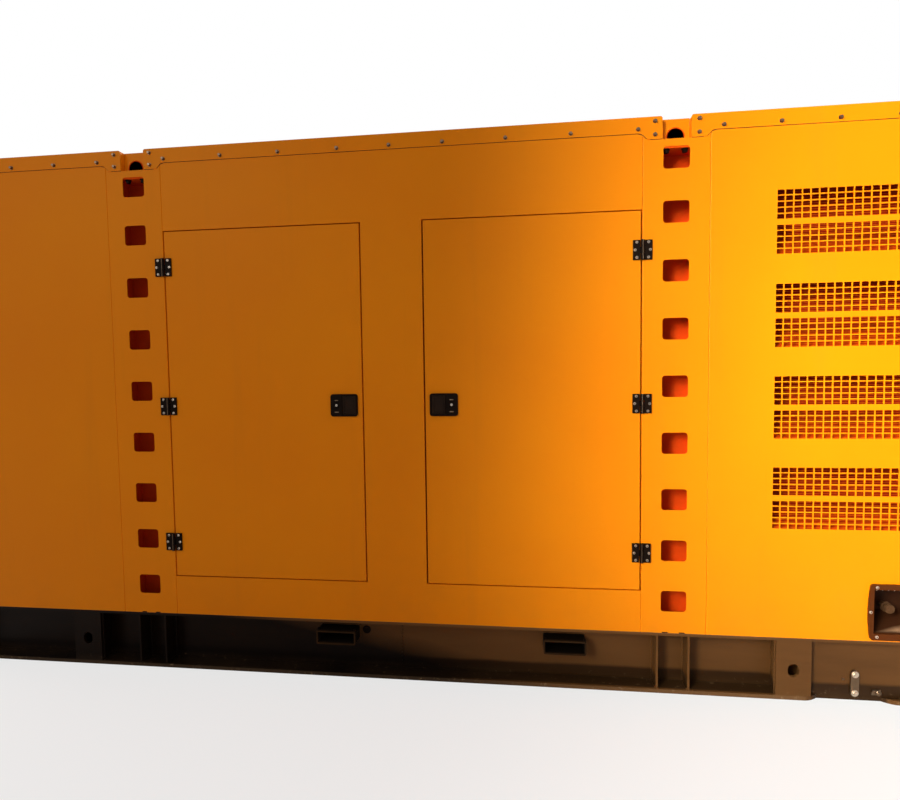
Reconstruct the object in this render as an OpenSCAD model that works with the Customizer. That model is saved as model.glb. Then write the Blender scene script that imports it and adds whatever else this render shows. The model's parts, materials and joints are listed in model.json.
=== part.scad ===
// Silent diesel generating set. A black steel skid carries a sheet-steel canopy in three
// modules, with a lifting post behind a perforated cover at each joint between them.
// X runs along the machine, Y across it, Z up. The front long side faces -Y and the
// origin is on the floor under the middle of the footprint.

/* [Canopy] */
// Length of the radiator module at the left end
left_len = 810; // [760:5:1200]
// Width of each post cover between two modules
post_w = 250; // [230:2:300]
// Length of the middle module with the doors
mid_len = 1985; // [1900:5:2300]
// Length of the intake module at the right end
right_len = 1230; // [1200:5:1700]
// Width over both long sides
body_w = 1700; // [1600:10:2000]
// Height of the canopy above the skid
canopy_h = 2013; // [1960:1:2200]
// Thickness of the canopy's sheet steel
sheet_t = 3; // [2:0.5:4]
// Depth of the folded edges round each wall panel
fold_d = 45; // [42:1:60]
// Thickness of the acoustic lining
lining_t = 36; // [20:1:38]
// Radius of the bends at a panel's upright edges
bend_r = 3; // [2:0.5:5]

/* [Roof] */
// Height of the turned-down roof edge along a module
apron_h = 60; // [50:1:75]
// Height of the turned-down roof edge over a post
apron_end_h = 84; // [80:1:95]
// Open width between two roofs at a post
notch_w = 106; // [100:1:120]
// Radius of the roof's upper corners
roof_corner_r = 9; // [6:1:20]

/* [Doors] */
// Width of each door opening
door_w = 866; // [800:2:900]
// Height of each door opening
door_h = 1500; // [1440:5:1560]
// Height of the sill under the doors
sill_h = 168; // [150:1:200]
// Gap round a door at its hinged, upper and lower edges
door_gap = 5; // [5:0.5:8]
// Gap at a door's free edge
free_gap = 6; // [6:0.5:9]
// Depth of the folded edges of a door
door_fold = 30; // [24:1:32]
// Width of the rubber seal that a door closes on
seal_w = 20; // [14:1:24]
// Thickness of the rubber seal
seal_t = 9; // [6:0.5:9]

/* [Hinges] */
// Width of one hinge leaf, from the pin
leaf_w = 36; // [32:1:45]
// Height of a hinge
hinge_h = 76; // [70:1:95]
// Thickness of a hinge leaf
leaf_t = 6; // [5:0.5:7]
// Radius of a hinge knuckle
knuckle_r = 7; // [6:0.5:7]
// Radius of a hinge pin
pin_r = 3; // [2:0.25:4]
// Distance from a door's top or bottom to the nearest hinge
hinge_inset = 155; // [120:5:260]

/* [Latches] */
// Width of a latch plate
latch_w = 116; // [110:1:130]
// Height of a latch plate
latch_h = 93; // [88:1:110]
// Distance from a door's free edge to the middle of the latch
latch_inset = 77; // [76:1:110]
// Width of the latch paddle
paddle_w = 56; // [46:1:58]
// Height of the latch paddle
paddle_h = 76; // [60:1:78]

/* [Posts] */
// Width of the holes in a post cover
hole_w = 98; // [80:1:104]
// Height of the holes in a post cover
hole_h = 84; // [70:1:96]
// Corner radius of those holes
hole_r = 12; // [6:1:20]
// Height of the lowest hole above the skid
hole_z = 129; // [110:1:150]
// Pitch of the closer holes at the ends of a cover
hole_pitch_end = 204.5; // [190:0.5:210]
// Pitch of the other holes
hole_pitch = 223.2; // [210:0.2:226]
// Width of a lifting post
post_beam_w = 190; // [170:2:210]
// Depth of a lifting post behind its cover
post_beam_d = 100; // [80:5:140]
// Diameter of the lifting holes
lift_hole_d = 62; // [50:1:70]
// Thickness of a lifting plate
lift_plate_t = 20; // [15:1:25]
// Depth of a lifting plate behind the outside
lift_plate_in = 24; // [20:1:60]

/* [Grilles] */
// Width of a punched cell
cell_w = 25.8; // [20:0.2:27]
// Height of a punched cell
cell_h = 18.3; // [12:0.1:20]
// Pitch of the cells along a row
cell_pitch_x = 30; // [29:0.5:32]
// Pitch of the rows
cell_pitch_z = 22.4; // [21:0.1:23]
// Number of cells in a row
cell_cols = 25; // [18:1:26]
// Distance from a module's edge to the first cell
grille_inset = 240; // [150:1:250]
// Height of the lowest cell above the skid
grille_z = 430.5; // [400:0.5:460]
// Pitch of the four groups
group_pitch = 349.7; // [340:0.1:360]
// Pitch of the two bands in a group
band_pitch = 130; // [127:0.5:134]

/* [Skid] */
// Height of the skid
skid_h = 248; // [230:1:300]
// Thickness of the top flange and the web
rail_t = 12; // [8:1:14]
// Thickness of the bottom flange
foot_t = 16; // [12:1:26]
// Depth of the flanges
flange_d = 90; // [70:1:110]
// Distance between the two fork pockets
fork_pitch = 966; // [900:2:1100]
// Outer width of a fork pocket
fork_w = 172; // [160:1:190]
// Outer height of a fork pocket
fork_h = 58; // [56:1:70]
// Wall thickness of a fork pocket
fork_t = 6; // [4:1:8]
// Corner radius of a fork pocket
fork_r = 8; // [2:1:10]
// Height of the fork pockets above the floor
fork_z = 138; // [130:1:150]
// Distance from the right post cover to the middle of the right tie-down plate
tie_x = 328; // [300:2:420]
// Distance from the left post cover to the middle of the left tie-down plate
tie_x_left = 188; // [130:2:260]
// Width of a tie-down plate
tie_w = 130; // [110:2:150]
// Depth of the skid's end plate behind the outside
end_plate_in = 24; // [18:1:50]

/* [Service recess] */
// Distance from the intake module's edge to the recess frame
box_x = 589; // [560:1:620]
// Width of the recess frame
box_w = 420; // [380:2:440]
// Height of the recess frame
box_h = 216; // [190:1:230]
// Depth of the recess
box_d = 120; // [80:2:150]

/* [Machine] */
// Length of the engine block
engine_len = 1260; // [1100:10:1300]
// Width of the engine block
engine_w = 620; // [500:10:700]
// Height of the crankshaft above the floor
crank_z = 720; // [690:5:760]
// Diameter of the alternator
alternator_d = 640; // [560:10:700]
// Length of the alternator
alternator_len = 820; // [700:10:900]
// Width and height of the radiator core
core_w = 1200; // [1000:10:1300]
// Diameter of the exhaust silencer
silencer_d = 380; // [300:10:420]
// Length of the exhaust silencer
silencer_len = 1200; // [900:10:1300]

/* [Hidden] */

// Places along the machine
total_len = left_len + post_w + mid_len + post_w + right_len;
x_left = -total_len / 2;
x_post_l = x_left + left_len;
x_mid = x_post_l + post_w;
x_post_r = x_mid + mid_len;
x_right = x_post_r + post_w;
x_end = x_right + right_len;
// Places across and up
y_face = -body_w / 2;
y_web = y_face + flange_d;
z_base = skid_h;
z_top = skid_h + canopy_h;
wall_h = canopy_h - sheet_t;
z_door = z_base + sill_h;
z_post_top = z_top - apron_end_h - 1;
latch_z = z_door + door_h / 2;
hinge_out = knuckle_r + 1;
y_pin = y_face - hinge_out;
hinge_zs = [for (k = [-1, 0, 1]) z_door + door_h / 2 + k * (door_h / 2 - hinge_inset)];
hole_zs = [for (k = [0 : 8]) z_base + hole_z + min(k, 2) * hole_pitch_end
    + min(max(k - 2, 0), 5) * hole_pitch + max(k - 7, 0) * hole_pitch_end];
eps = 1;
fit = 0.3;
mesh_fn = 48;
paint = "orange";
black = [0.08, 0.08, 0.08];
bare = [0.6, 0.6, 0.6];

// Front shapes are drawn once and mirrored to the rear
module on_side(side) {
    if (side == "front") children();
    else mirror([0, 1, 0]) children();
}

// A flat outline in X and Z becomes a slab from y0 inwards
module slab(y0, thick) {
    translate([0, y0 + thick, 0]) rotate([90, 0, 0]) linear_extrude(thick) children();
}

// A flat outline in Y and Z becomes a slab from x0 to the right
module side_slab(x0, thick) {
    translate([x0, 0, 0]) rotate([90, 0, 90]) linear_extrude(thick) children();
}

// Rectangle with round corners, from its lower left corner
module round_rect(w, h, r) {
    translate([r, 0]) square([w - 2 * r, h]);
    translate([0, r]) square([w, h - 2 * r]);
    for (x = [r, w - r], y = [r, h - r])
        translate([x, y]) circle(r, $fn = mesh_fn);
}

// Plan of a folded sheet whose two outer corners are bent to a small radius
module bent_plan(len, depth) {
    translate([bend_r, 0]) square([len - 2 * bend_r, depth]);
    translate([0, bend_r]) square([len, depth - bend_r]);
    for (x = [bend_r, len - bend_r])
        translate([x, bend_r]) circle(bend_r, $fn = mesh_fn);
}

// ---- skid ----

// Stiffeners stand under each post, on both sides of its lifting plate
stiff_t = 8;
stiff_pitch = 122;
tie_hole_w = 42;
tie_hole_h = 52;
tie_t = 15;
end_plate_t = 10;

module tie_hole() {
    straight = tie_hole_h - tie_hole_w;
    for (s = [-1, 1])
        translate([0, s * straight / 2]) circle(tie_hole_w / 2, $fn = mesh_fn);
    translate([-tie_hole_w / 2, -straight / 2]) square([tie_hole_w, straight]);
}

module fork_outline(inset) {
    for (s = [-1, 1])
        translate([s * fork_pitch / 2 - fork_w / 2 + inset, fork_z + inset])
            round_rect(fork_w - 2 * inset, fork_h - 2 * inset, max(fork_r - inset, 1));
}

// The bottom flange is cut back beside the right tie-down plate
bay_x = x_right + tie_x + tie_w / 2 - 26;
bay_len = 346;
bay_ramp = 56;
bay_points = [for (k = [0 : 8]) let (t = k / 8) [bay_ramp * t, end_plate_in * t * t]];

module flange_bay() {
    translate([bay_x, y_face, -eps]) linear_extrude(foot_t + 2 * eps)
        polygon(concat([[0, -eps]], bay_points,
            [for (k = [8 : -1 : 0]) [bay_len - bay_points[k][0], bay_points[k][1]]],
            [[bay_len, -eps]]));
}

module skid_rail() {
    web_h = skid_h - foot_t - rail_t;
    color(black) union() {
        translate([x_left, y_face, skid_h - rail_t]) cube([total_len, flange_d, rail_t]);
        difference() {
            translate([x_left, y_face, 0]) cube([total_len, flange_d, foot_t]);
            flange_bay();
        }
        slab(y_web - rail_t, rail_t) difference() {
            translate([x_left, foot_t]) square([total_len, web_h]);
            fork_outline(0);
        }
        for (x = [x_left, x_end - rail_t])
            translate([x, y_face, foot_t]) cube([rail_t, flange_d, web_h]);
    }
}

module skid_rail_front() { skid_rail(); }
module skid_rail_rear() { on_side("rear") skid_rail(); }

// Tie-down plate with a rib at each side, between the flanges of the rail
module tie_plate(x) {
    web_h = skid_h - foot_t - rail_t;
    union() {
        slab(y_face, tie_t) difference() {
            translate([x - tie_w / 2, foot_t]) square([tie_w, web_h]);
            translate([x, skid_h / 2 - 6]) tie_hole();
        }
        for (s = [-1, 1])
            translate([x + s * (tie_w / 2 - 14) - stiff_t / 2, y_face + tie_t - eps, foot_t])
                cube([stiff_t, flange_d - rail_t - tie_t + eps, web_h]);
    }
}

// Plates welded into both rails: tie-downs, stiffeners under the posts and the end plate
module skid_plates() {
    web_h = skid_h - foot_t - rail_t;
    plate_x = x_right + tie_x + tie_w / 2;
    color(black) for (side = ["front", "rear"]) on_side(side) {
        for (x = [x_right + tie_x, x_post_l - tie_x_left]) tie_plate(x);
        for (x = [x_post_l + post_w / 2, x_post_r + post_w / 2], s = [-1, 1])
            translate([x + s * stiff_pitch / 2 - stiff_t / 2, y_face + 4, foot_t])
                cube([stiff_t, flange_d - rail_t - 4, web_h]);
        translate([plate_x, y_face + end_plate_in, foot_t])
            cube([x_end - rail_t - plate_x, end_plate_t, web_h]);
    }
}

// Channels between the rails at both ends, with their flanges inwards
module skid_ends() {
    end_d = 70;
    inner_w = body_w - 2 * flange_d;
    color(black) for (s = [0, 1])
        translate([s * (x_end - x_left) + x_left, 0, 0]) mirror([s, 0, 0]) union() {
            translate([0, -inner_w / 2, 0]) cube([rail_t, inner_w, skid_h]);
            translate([0, -inner_w / 2, skid_h - rail_t]) cube([end_d, inner_w, rail_t]);
            translate([0, -inner_w / 2, 0]) cube([end_d, inner_w, rail_t]);
        }
}

cross_w = 70;
floor_t = 6;
cross_top = skid_h - rail_t - floor_t;
cross_h = 150;
cross_pitch = fork_pitch / 2;
cross_count = floor((total_len / 2 - 100) / cross_pitch);

module cross_members() {
    inner_w = body_w - 2 * flange_d;
    color(black) for (k = [-cross_count : cross_count - 1])
        translate([(k + 0.5) * cross_pitch - cross_w / 2, -inner_w / 2, cross_top - cross_h])
            difference() {
                cube([cross_w, inner_w, cross_h]);
                translate([rail_t, -eps, rail_t])
                    cube([cross_w, inner_w + 2 * eps, cross_h - 2 * rail_t]);
            }
}

module fork_pockets() {
    color(black) slab(-body_w / 2, body_w) difference() {
        fork_outline(0);
        fork_outline(fork_t);
    }
}

module base_floor() {
    inner_w = body_w - 2 * flange_d;
    color(black) translate([x_left + rail_t, -inner_w / 2, cross_top])
        cube([total_len - 2 * rail_t, inner_w, floor_t]);
}

earth_x = x_right + 560;
earth_w = 30;
earth_h = 105;
earth_t = 8;

// Flat bar with round ends on the skid's end plate
module earth_bar() {
    straight = earth_h - earth_w;
    color("silver") slab(y_face + end_plate_in - earth_t, earth_t)
        translate([earth_x, foot_t + earth_w / 2]) {
            translate([-earth_w / 2, 0]) square([earth_w, straight]);
            for (z = [0, straight]) translate([0, z]) circle(earth_w / 2, $fn = mesh_fn);
        }
}

// ---- lifting posts and their covers ----

post_t = 10;
post_xs = [x_post_l + post_w / 2, x_post_r + post_w / 2];
z_cap = z_post_top - 24;

module lifting_post() {
    y0 = y_face + sheet_t;
    w = post_beam_w;
    h = z_cap - z_base;
    translate([-w / 2, y0, z_base]) difference() {
        cube([w, post_beam_d, h]);
        translate([post_t, -eps, -eps])
            cube([w - 2 * post_t, post_beam_d - post_t + eps, h - post_t + eps]);
    }
}

module lifting_posts() {
    color(paint) for (x = post_xs, side = ["front", "rear"])
        on_side(side) translate([x, 0, 0]) lifting_post();
}

// The plate stands on the post's cap and fills the gap between the roofs
lift_hole_up = 15;

module lifting_plate() {
    w = notch_w - 2;
    slab(y_face + lift_plate_in, lift_plate_t) difference() {
        translate([-w / 2, z_cap]) square([w, z_top - 4 - z_cap]);
        translate([0, z_post_top + lift_hole_up]) circle(lift_hole_d / 2, $fn = mesh_fn);
    }
}

module lifting_plates() {
    color(paint) for (x = post_xs, side = ["front", "rear"])
        on_side(side) translate([x, 0, 0]) lifting_plate();
}

// Cover sheet with nine holes and two drain slots; its ears reach up behind the roof edges
slot_w = 22;
slot_h = 4;
slot_xs = [-32, 33];

module post_cover() {
    ear_w = (post_w - notch_w) / 2 - sheet_t;
    ear_top = z_top - roof_corner_r - sheet_t;
    color(paint) intersection() {
        union() {
            slab(y_face, sheet_t) difference() {
                union() {
                    translate([-post_w / 2, z_base]) square([post_w, z_post_top - z_base]);
                    for (x = [-post_w / 2, post_w / 2 - ear_w])
                        translate([x, z_post_top - eps])
                            square([ear_w, ear_top - z_post_top + eps]);
                }
                for (z = hole_zs)
                    translate([-hole_w / 2, z - hole_h / 2])
                        round_rect(hole_w, hole_h, hole_r);
                for (x = slot_xs)
                    translate([x - slot_w / 2, z_base - eps]) square([slot_w, slot_h + eps]);
            }
            for (x = [-post_w / 2, post_w / 2 - sheet_t])
                translate([x, y_face, z_base]) cube([sheet_t, fold_d, ear_top - z_base]);
        }
        translate([-post_w / 2, y_face, z_base])
            linear_extrude(canopy_h) bent_plan(post_w, fold_d);
    }
}

module post_cover_left_front() { translate([post_xs[0], 0, 0]) post_cover(); }
module post_cover_right_front() { translate([post_xs[1], 0, 0]) post_cover(); }
module post_cover_left_rear() { on_side("rear") translate([post_xs[0], 0, 0]) post_cover(); }
module post_cover_right_rear() { on_side("rear") translate([post_xs[1], 0, 0]) post_cover(); }

// ---- wall panels ----

// Sheet with folded edges, open towards the inside
module tray(x0, len, z0, h) {
    translate([x0, y_face, z0]) difference() {
        linear_extrude(h) bent_plan(len, fold_d);
        translate([sheet_t, sheet_t, sheet_t])
            cube([len - 2 * sheet_t, fold_d, h - 2 * sheet_t]);
    }
}

// A wall's outer upper corner is cut away under the roof's bend
module corner_notch(x) {
    translate([x - roof_corner_r, y_face - eps, z_top - roof_corner_r])
        cube([2 * roof_corner_r, fold_d + 2 * eps, roof_corner_r]);
}

module left_wall() {
    color(paint) difference() {
        tray(x_left, left_len, z_base, wall_h);
        corner_notch(x_left);
    }
}

module left_wall_front() { left_wall(); }
module left_wall_rear() { on_side("rear") left_wall(); }

// Each band of cells is a plate in its own window of the wall sheet
band_edge = 8;
cells_len = (cell_cols - 1) * cell_pitch_x + cell_w;
band_cells_h = 4 * cell_pitch_z + cell_h;
band_len = cells_len + 2 * band_edge;
band_h = band_cells_h + 2 * band_edge;
band_zs = [for (g = [0 : 3], b = [0, 1])
    z_base + grille_z + g * group_pitch + b * band_pitch];
x_cells = x_right + grille_inset;

module band_window() {
    for (z = band_zs)
        translate([x_cells - band_edge, z - band_edge]) square([band_len, band_h]);
}

module right_wall(with_box) {
    color(paint) difference() {
        tray(x_right, right_len, z_base, wall_h);
        corner_notch(x_end);
        slab(y_face - eps, sheet_t + 2 * eps) band_window();
        if (with_box) slab(y_face - eps, fold_d) box_outline(box_hole_in);
    }
}

module right_wall_front() { right_wall(true); }
module right_wall_rear() { on_side("rear") right_wall(false); }

module intake_grille() {
    color(paint) for (z = band_zs)
        slab(y_face, sheet_t) difference() {
            translate([x_cells - band_edge, z - band_edge]) square([band_len, band_h]);
            for (r = [0 : 4], c = [0 : cell_cols - 1])
                translate([x_cells + c * cell_pitch_x, z + r * cell_pitch_z])
                    square([cell_w, cell_h]);
        }
}

module intake_grille_front() { intake_grille(); }
module intake_grille_rear() { on_side("rear") intake_grille(); }

// A folded sheet behind each group throws rain back out and hides the inside
baffle_d = 130;
baffle_rise = 110;
baffle_over = 30;

module intake_baffle(z_group) {
    y0 = y_face + sheet_t;
    y1 = y0 + baffle_d;
    z0 = z_group - band_edge - 8;
    z_back = z0 + baffle_rise;
    z_side = z_group + band_pitch + band_h;
    z_end = z_side + baffle_over;
    x0 = x_cells - band_edge - 12;
    len = band_len + 24;
    side_slab(x0, len)
        polygon([[y0, z0], [y1, z_back], [y1, z_end], [y1 - sheet_t, z_end],
                 [y1 - sheet_t, z_back + sheet_t], [y0, z0 + sheet_t + 2]]);
    for (x = [x0, x0 + len - sheet_t])
        side_slab(x, sheet_t)
            polygon([[y0, z0], [y1, z_back], [y1, z_end], [y0 + 40, z_side],
                     [y0, z_side]]);
}

module intake_baffles() {
    color(paint) for (side = ["front", "rear"], g = [0 : 3])
        on_side(side) intake_baffle(band_zs[2 * g]);
}

// ---- end walls ----

end_w = body_w - 2 * fold_d;
louvre_w = 1140;
louvre_h = 1360;
louvre_z = z_base + 330;
louvre_frame = 25;

end_h = canopy_h - roof_corner_r;

module end_tray() {
    translate([x_left, -end_w / 2, z_base]) difference() {
        cube([fold_d, end_w, end_h]);
        translate([sheet_t, sheet_t, sheet_t])
            cube([fold_d, end_w - 2 * sheet_t, end_h - 2 * sheet_t]);
    }
}

module left_end_wall() {
    color(paint) difference() {
        end_tray();
        translate([x_left - eps, -louvre_w / 2, louvre_z])
            cube([sheet_t + 2 * eps, louvre_w, louvre_h]);
    }
}

module right_end_wall() { color(paint) mirror([1, 0, 0]) end_tray(); }

// Frame with inclined blades in the discharge opening
module discharge_louvre() {
    depth = fold_d - 10;
    blade_pitch = 80;
    blades = floor((louvre_h - 2 * louvre_frame) / blade_pitch);
    color(paint) union() {
        side_slab(x_left, depth) difference() {
            translate([-louvre_w / 2, louvre_z]) square([louvre_w, louvre_h]);
            translate([-louvre_w / 2 + louvre_frame, louvre_z + louvre_frame])
                square([louvre_w - 2 * louvre_frame, louvre_h - 2 * louvre_frame]);
        }
        for (k = [0 : blades - 1])
            translate([x_left, 0, louvre_z + louvre_frame + (k + 0.15) * blade_pitch])
                rotate([90, 0, 0])
                    linear_extrude(louvre_w - louvre_frame, center = true)
                        polygon([[0, 0], [depth, 50], [depth, 50 + sheet_t + 1],
                                 [0, sheet_t + 1]]);
    }
}

// ---- roofs ----

// Side outline of a roof; over a post its lower edge steps down
module roof_outline(len, step_l, step_r) {
    low = -apron_end_h;
    high = -apron_h;
    drop = apron_end_h - apron_h;
    over = (post_w - notch_w) / 2;
    flat = over - 17;
    left_edge = step_l ? [[0, low], [flat, low], [flat + drop, high]] : [[0, high]];
    right_edge = step_r ? [[len - flat - drop, high], [len - flat, low], [len, low]]
        : [[len, high]];
    difference() {
        polygon(concat(left_edge, right_edge, [[len, 0], [0, 0]]));
        for (x = [0, len]) translate([x, 0]) difference() {
            square(2 * roof_corner_r, center = true);
            translate([x == 0 ? roof_corner_r : -roof_corner_r, -roof_corner_r])
                circle(roof_corner_r, $fn = mesh_fn);
        }
    }
}

module roof(x0, x1, step_l, step_r) {
    w = body_w + 2 * sheet_t;
    out_l = step_l ? 0 : sheet_t;
    out_r = step_r ? 0 : sheet_t;
    len = x1 - x0 + out_l + out_r;
    color(paint) translate([x0 - out_l, 0, z_top]) difference() {
        rotate([90, 0, 0]) linear_extrude(w, center = true)
            roof_outline(len, step_l, step_r);
        difference() {
            translate([sheet_t, -body_w / 2, -200])
                cube([len - 2 * sheet_t, body_w, 200 - sheet_t]);
            for (x = [0, len]) translate([x, 0, 0]) rotate([90, 0, 0])
                linear_extrude(body_w + 2, center = true) difference() {
                    square(2 * roof_corner_r, center = true);
                    translate([x == 0 ? roof_corner_r : -roof_corner_r, -roof_corner_r])
                        circle(roof_corner_r - sheet_t, $fn = mesh_fn);
                }
        }
    }
}

notch_l = x_post_l + (post_w - notch_w) / 2;
notch_r = x_post_r + (post_w - notch_w) / 2;

module left_roof() { roof(x_left, notch_l, false, true); }
module mid_roof() { roof(notch_l + notch_w, notch_r, true, true); }
module right_roof() { roof(notch_r + notch_w, x_end, true, false); }

// Sheet floor across the machine between two roofs, with a raised duct along its middle
duct_gap = 60;

module roof_gutter() {
    w = post_w - 2 * sheet_t;
    duct_w = notch_w - 4;
    duct_in = lift_plate_in + lift_plate_t + duct_gap;
    duct_len = body_w - 2 * duct_in;
    duct_h = z_top - 8 - z_post_top + sheet_t;
    z0 = z_post_top - sheet_t;
    difference() {
        translate([-w / 2, y_face + sheet_t, z0]) cube([w, body_w - 2 * sheet_t, sheet_t]);
        for (y = [y_face + lift_plate_in - 1, -y_face - lift_plate_in - lift_plate_t - 1])
            translate([-notch_w / 2, y, z0 - eps])
                cube([notch_w, lift_plate_t + 2, sheet_t + 2 * eps]);
    }
    translate([-duct_w / 2, y_face + duct_in, z0]) difference() {
        cube([duct_w, duct_len, duct_h]);
        translate([sheet_t, -eps, sheet_t])
            cube([duct_w - 2 * sheet_t, duct_len + 2 * eps, duct_h - 2 * sheet_t]);
    }
}

module roof_gutters() {
    color(paint) for (x = post_xs) translate([x, 0, 0]) roof_gutter();
}

// ---- middle module ----

door_xs = [x_mid, x_post_r - door_w];

module opening(grow) {
    for (x = door_xs)
        translate([x - grow, z_door - grow]) square([door_w + 2 * grow, door_h + 2 * grow]);
}

module mid_frame() {
    color(paint) intersection() {
        union() {
            slab(y_face, sheet_t) difference() {
                translate([x_mid, z_base]) square([mid_len, wall_h]);
                opening(0);
            }
            slab(y_face, fold_d) difference() {
                opening(sheet_t);
                opening(0);
            }
            slab(y_face, fold_d) for (z = [z_base, z_base + wall_h - sheet_t])
                translate([x_mid, z]) square([mid_len, sheet_t]);
        }
        translate([x_mid, y_face, z_base]) linear_extrude(wall_h) bent_plan(mid_len, fold_d);
    }
}

module mid_frame_front() { mid_frame(); }
module mid_frame_rear() { on_side("rear") mid_frame(); }

module door_seals() {
    color(black) for (side = ["front", "rear"]) on_side(side)
        slab(y_face + fold_d - seal_t, seal_t) difference() {
            opening(0);
            opening(-seal_w);
        }
}

// ---- doors: drawn for the left opening, hinged at x = 0 on the post cover's edge ----

skin_w = door_w - door_gap - free_gap;
skin_h = door_h - 2 * door_gap;
latch_x = door_w - free_gap - latch_inset;
pan_d = 22;
pan_w = paddle_w + 12;
pan_h = paddle_h + 8;
paddle_x = latch_x + latch_w / 2 - 8 - paddle_w;
pan_x = paddle_x - 6;
paddle_y = y_face - 3;
lining_in = seal_w + 8;
lock_in = 26;
latch_r = 11;
lock_r = 7;
lock_out = 2.5;

// Moves a left-hand door shape to its opening; a right-hand door is its mirror image
module hang(hand, side) {
    on_side(side)
        if (hand == "left") translate([x_mid, 0, 0]) children();
        else translate([x_post_r, 0, 0]) mirror([1, 0, 0]) children();
}

module pan_cut(y0, thick) {
    translate([pan_x - 2, y0, latch_z - pan_h / 2 - 2]) cube([pan_w + 4, thick, pan_h + 4]);
}

module door_skin() {
    color(paint) translate([0, y_face, 0]) difference() {
        translate([door_gap, 0, z_door + door_gap])
            linear_extrude(skin_h) bent_plan(skin_w, door_fold);
        translate([door_gap + sheet_t, sheet_t, z_door + door_gap + sheet_t])
            cube([skin_w - 2 * sheet_t, door_fold, skin_h - 2 * sheet_t]);
        pan_cut(-eps, sheet_t + 2 * eps);
    }
}

module door_lining() {
    x0 = door_gap + lining_in;
    w = skin_w - 2 * lining_in;
    h = skin_h - 2 * lining_in;
    color(black) difference() {
        translate([x0, y_face + sheet_t, z_door + door_gap + lining_in])
            cube([w, lining_t, h]);
        pan_cut(y_face, pan_d + 6);
    }
}

// A leaf lies on the face; its knuckles alternate with those of the other leaf
module hinge_leaf(z, mid_knuckle) {
    third = hinge_h / 3;
    back = knuckle_r + 2;
    gap = 1;
    spans = mid_knuckle ? [[-third / 2 + gap, third / 2 - gap]]
        : [[-hinge_h / 2, -third / 2], [third / 2, hinge_h / 2]];
    translate([0, 0, z]) {
        translate([back, y_face - leaf_t, -hinge_h / 2]) cube([leaf_w - back, leaf_t, hinge_h]);
        for (s = spans) difference() {
            union() {
                translate([0, y_pin, s[0]]) cylinder(s[1] - s[0], r = knuckle_r, $fn = mesh_fn);
                translate([0, y_face - leaf_t, s[0]]) cube([back + eps, leaf_t, s[1] - s[0]]);
            }
            if (mid_knuckle) translate([0, y_pin, s[0] - eps])
                cylinder(s[1] - s[0] + 2 * eps, r = pin_r + fit, $fn = mesh_fn);
        }
        if (!mid_knuckle) translate([0, y_pin, -hinge_h / 2])
            cylinder(hinge_h, r = pin_r, $fn = mesh_fn);
    }
}

module latch_housing() {
    plate_x = latch_x - latch_w / 2;
    bezel_t = 6;
    color(black) difference() {
        union() {
            slab(y_face - bezel_t, bezel_t)
                translate([plate_x, latch_z - latch_h / 2]) round_rect(latch_w, latch_h, latch_r);
            translate([pan_x, y_face - eps, latch_z - pan_h / 2]) cube([pan_w, pan_d + eps, pan_h]);
        }
        translate([paddle_x - 3, y_face - bezel_t - eps, latch_z - paddle_h / 2 - 2])
            cube([paddle_w + 5, bezel_t + pan_d - 3 + eps, paddle_h + 4]);
    }
    color(bare) translate([paddle_x + 2, paddle_y, latch_z - paddle_h / 2 - 3])
        cylinder(paddle_h + 6, r = 1.6, $fn = mesh_fn);
    color(bare) translate([plate_x + lock_in, y_face - bezel_t + eps, latch_z])
        rotate([90, 0, 0]) cylinder(lock_out + eps, r = lock_r, $fn = mesh_fn);
}

module door_fittings() {
    color(black) for (z = hinge_zs) hinge_leaf(z, true);
    latch_housing();
}

// Flat paddle with a rolled edge round its pin
module door_paddle() {
    t = 4;
    color(black) translate([paddle_x, 0, latch_z - paddle_h / 2]) difference() {
        union() {
            translate([2, paddle_y - t / 2, 0]) cube([paddle_w - 2, t, paddle_h]);
            translate([2, paddle_y, 0]) cylinder(paddle_h, r = 3.4, $fn = mesh_fn);
            translate([paddle_w - t, paddle_y - t / 2, 0]) cube([t, t + 6, paddle_h]);
        }
        translate([2, paddle_y, -eps]) cylinder(paddle_h + 2 * eps, r = 1.9, $fn = mesh_fn);
    }
}

module door_left_front() { hang("left", "front") door_skin(); }
module door_left_front_lining() { hang("left", "front") door_lining(); }
module door_left_front_fittings() { hang("left", "front") door_fittings(); }
module door_left_front_paddle() { hang("left", "front") door_paddle(); }
module door_right_front() { hang("right", "front") door_skin(); }
module door_right_front_lining() { hang("right", "front") door_lining(); }
module door_right_front_fittings() { hang("right", "front") door_fittings(); }
module door_right_front_paddle() { hang("right", "front") door_paddle(); }
module door_left_rear() { hang("left", "rear") door_skin(); }
module door_left_rear_lining() { hang("left", "rear") door_lining(); }
module door_left_rear_fittings() { hang("left", "rear") door_fittings(); }
module door_left_rear_paddle() { hang("left", "rear") door_paddle(); }
module door_right_rear() { hang("right", "rear") door_skin(); }
module door_right_rear_lining() { hang("right", "rear") door_lining(); }
module door_right_rear_fittings() { hang("right", "rear") door_fittings(); }
module door_right_rear_paddle() { hang("right", "rear") door_paddle(); }

module frame_hinges() {
    color(black) for (hand = ["left", "right"], side = ["front", "rear"], z = hinge_zs)
        hang(hand, side) mirror([1, 0, 0]) hinge_leaf(z, false);
}

// ---- service recess low on the intake module ----

box_side = 11;
box_head = 20;
box_foot = 25;
box_hole_in = 6;
box_bulge = 7;
box_r = 10;
box_lift = 8;

// Points of a quarter circle round a corner, and of the swollen left side
function corner_arc(cx, cz, r, start) =
    [for (k = [0 : 6]) [cx + r * cos(start + 15 * k), cz + r * sin(start + 15 * k)]];
function swell(h, r) =
    [for (k = [1 : 11]) let (t = k / 6 - 1) [-box_bulge * (1 - t * t), h / 2 - t * (h / 2 - r)]];

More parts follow.
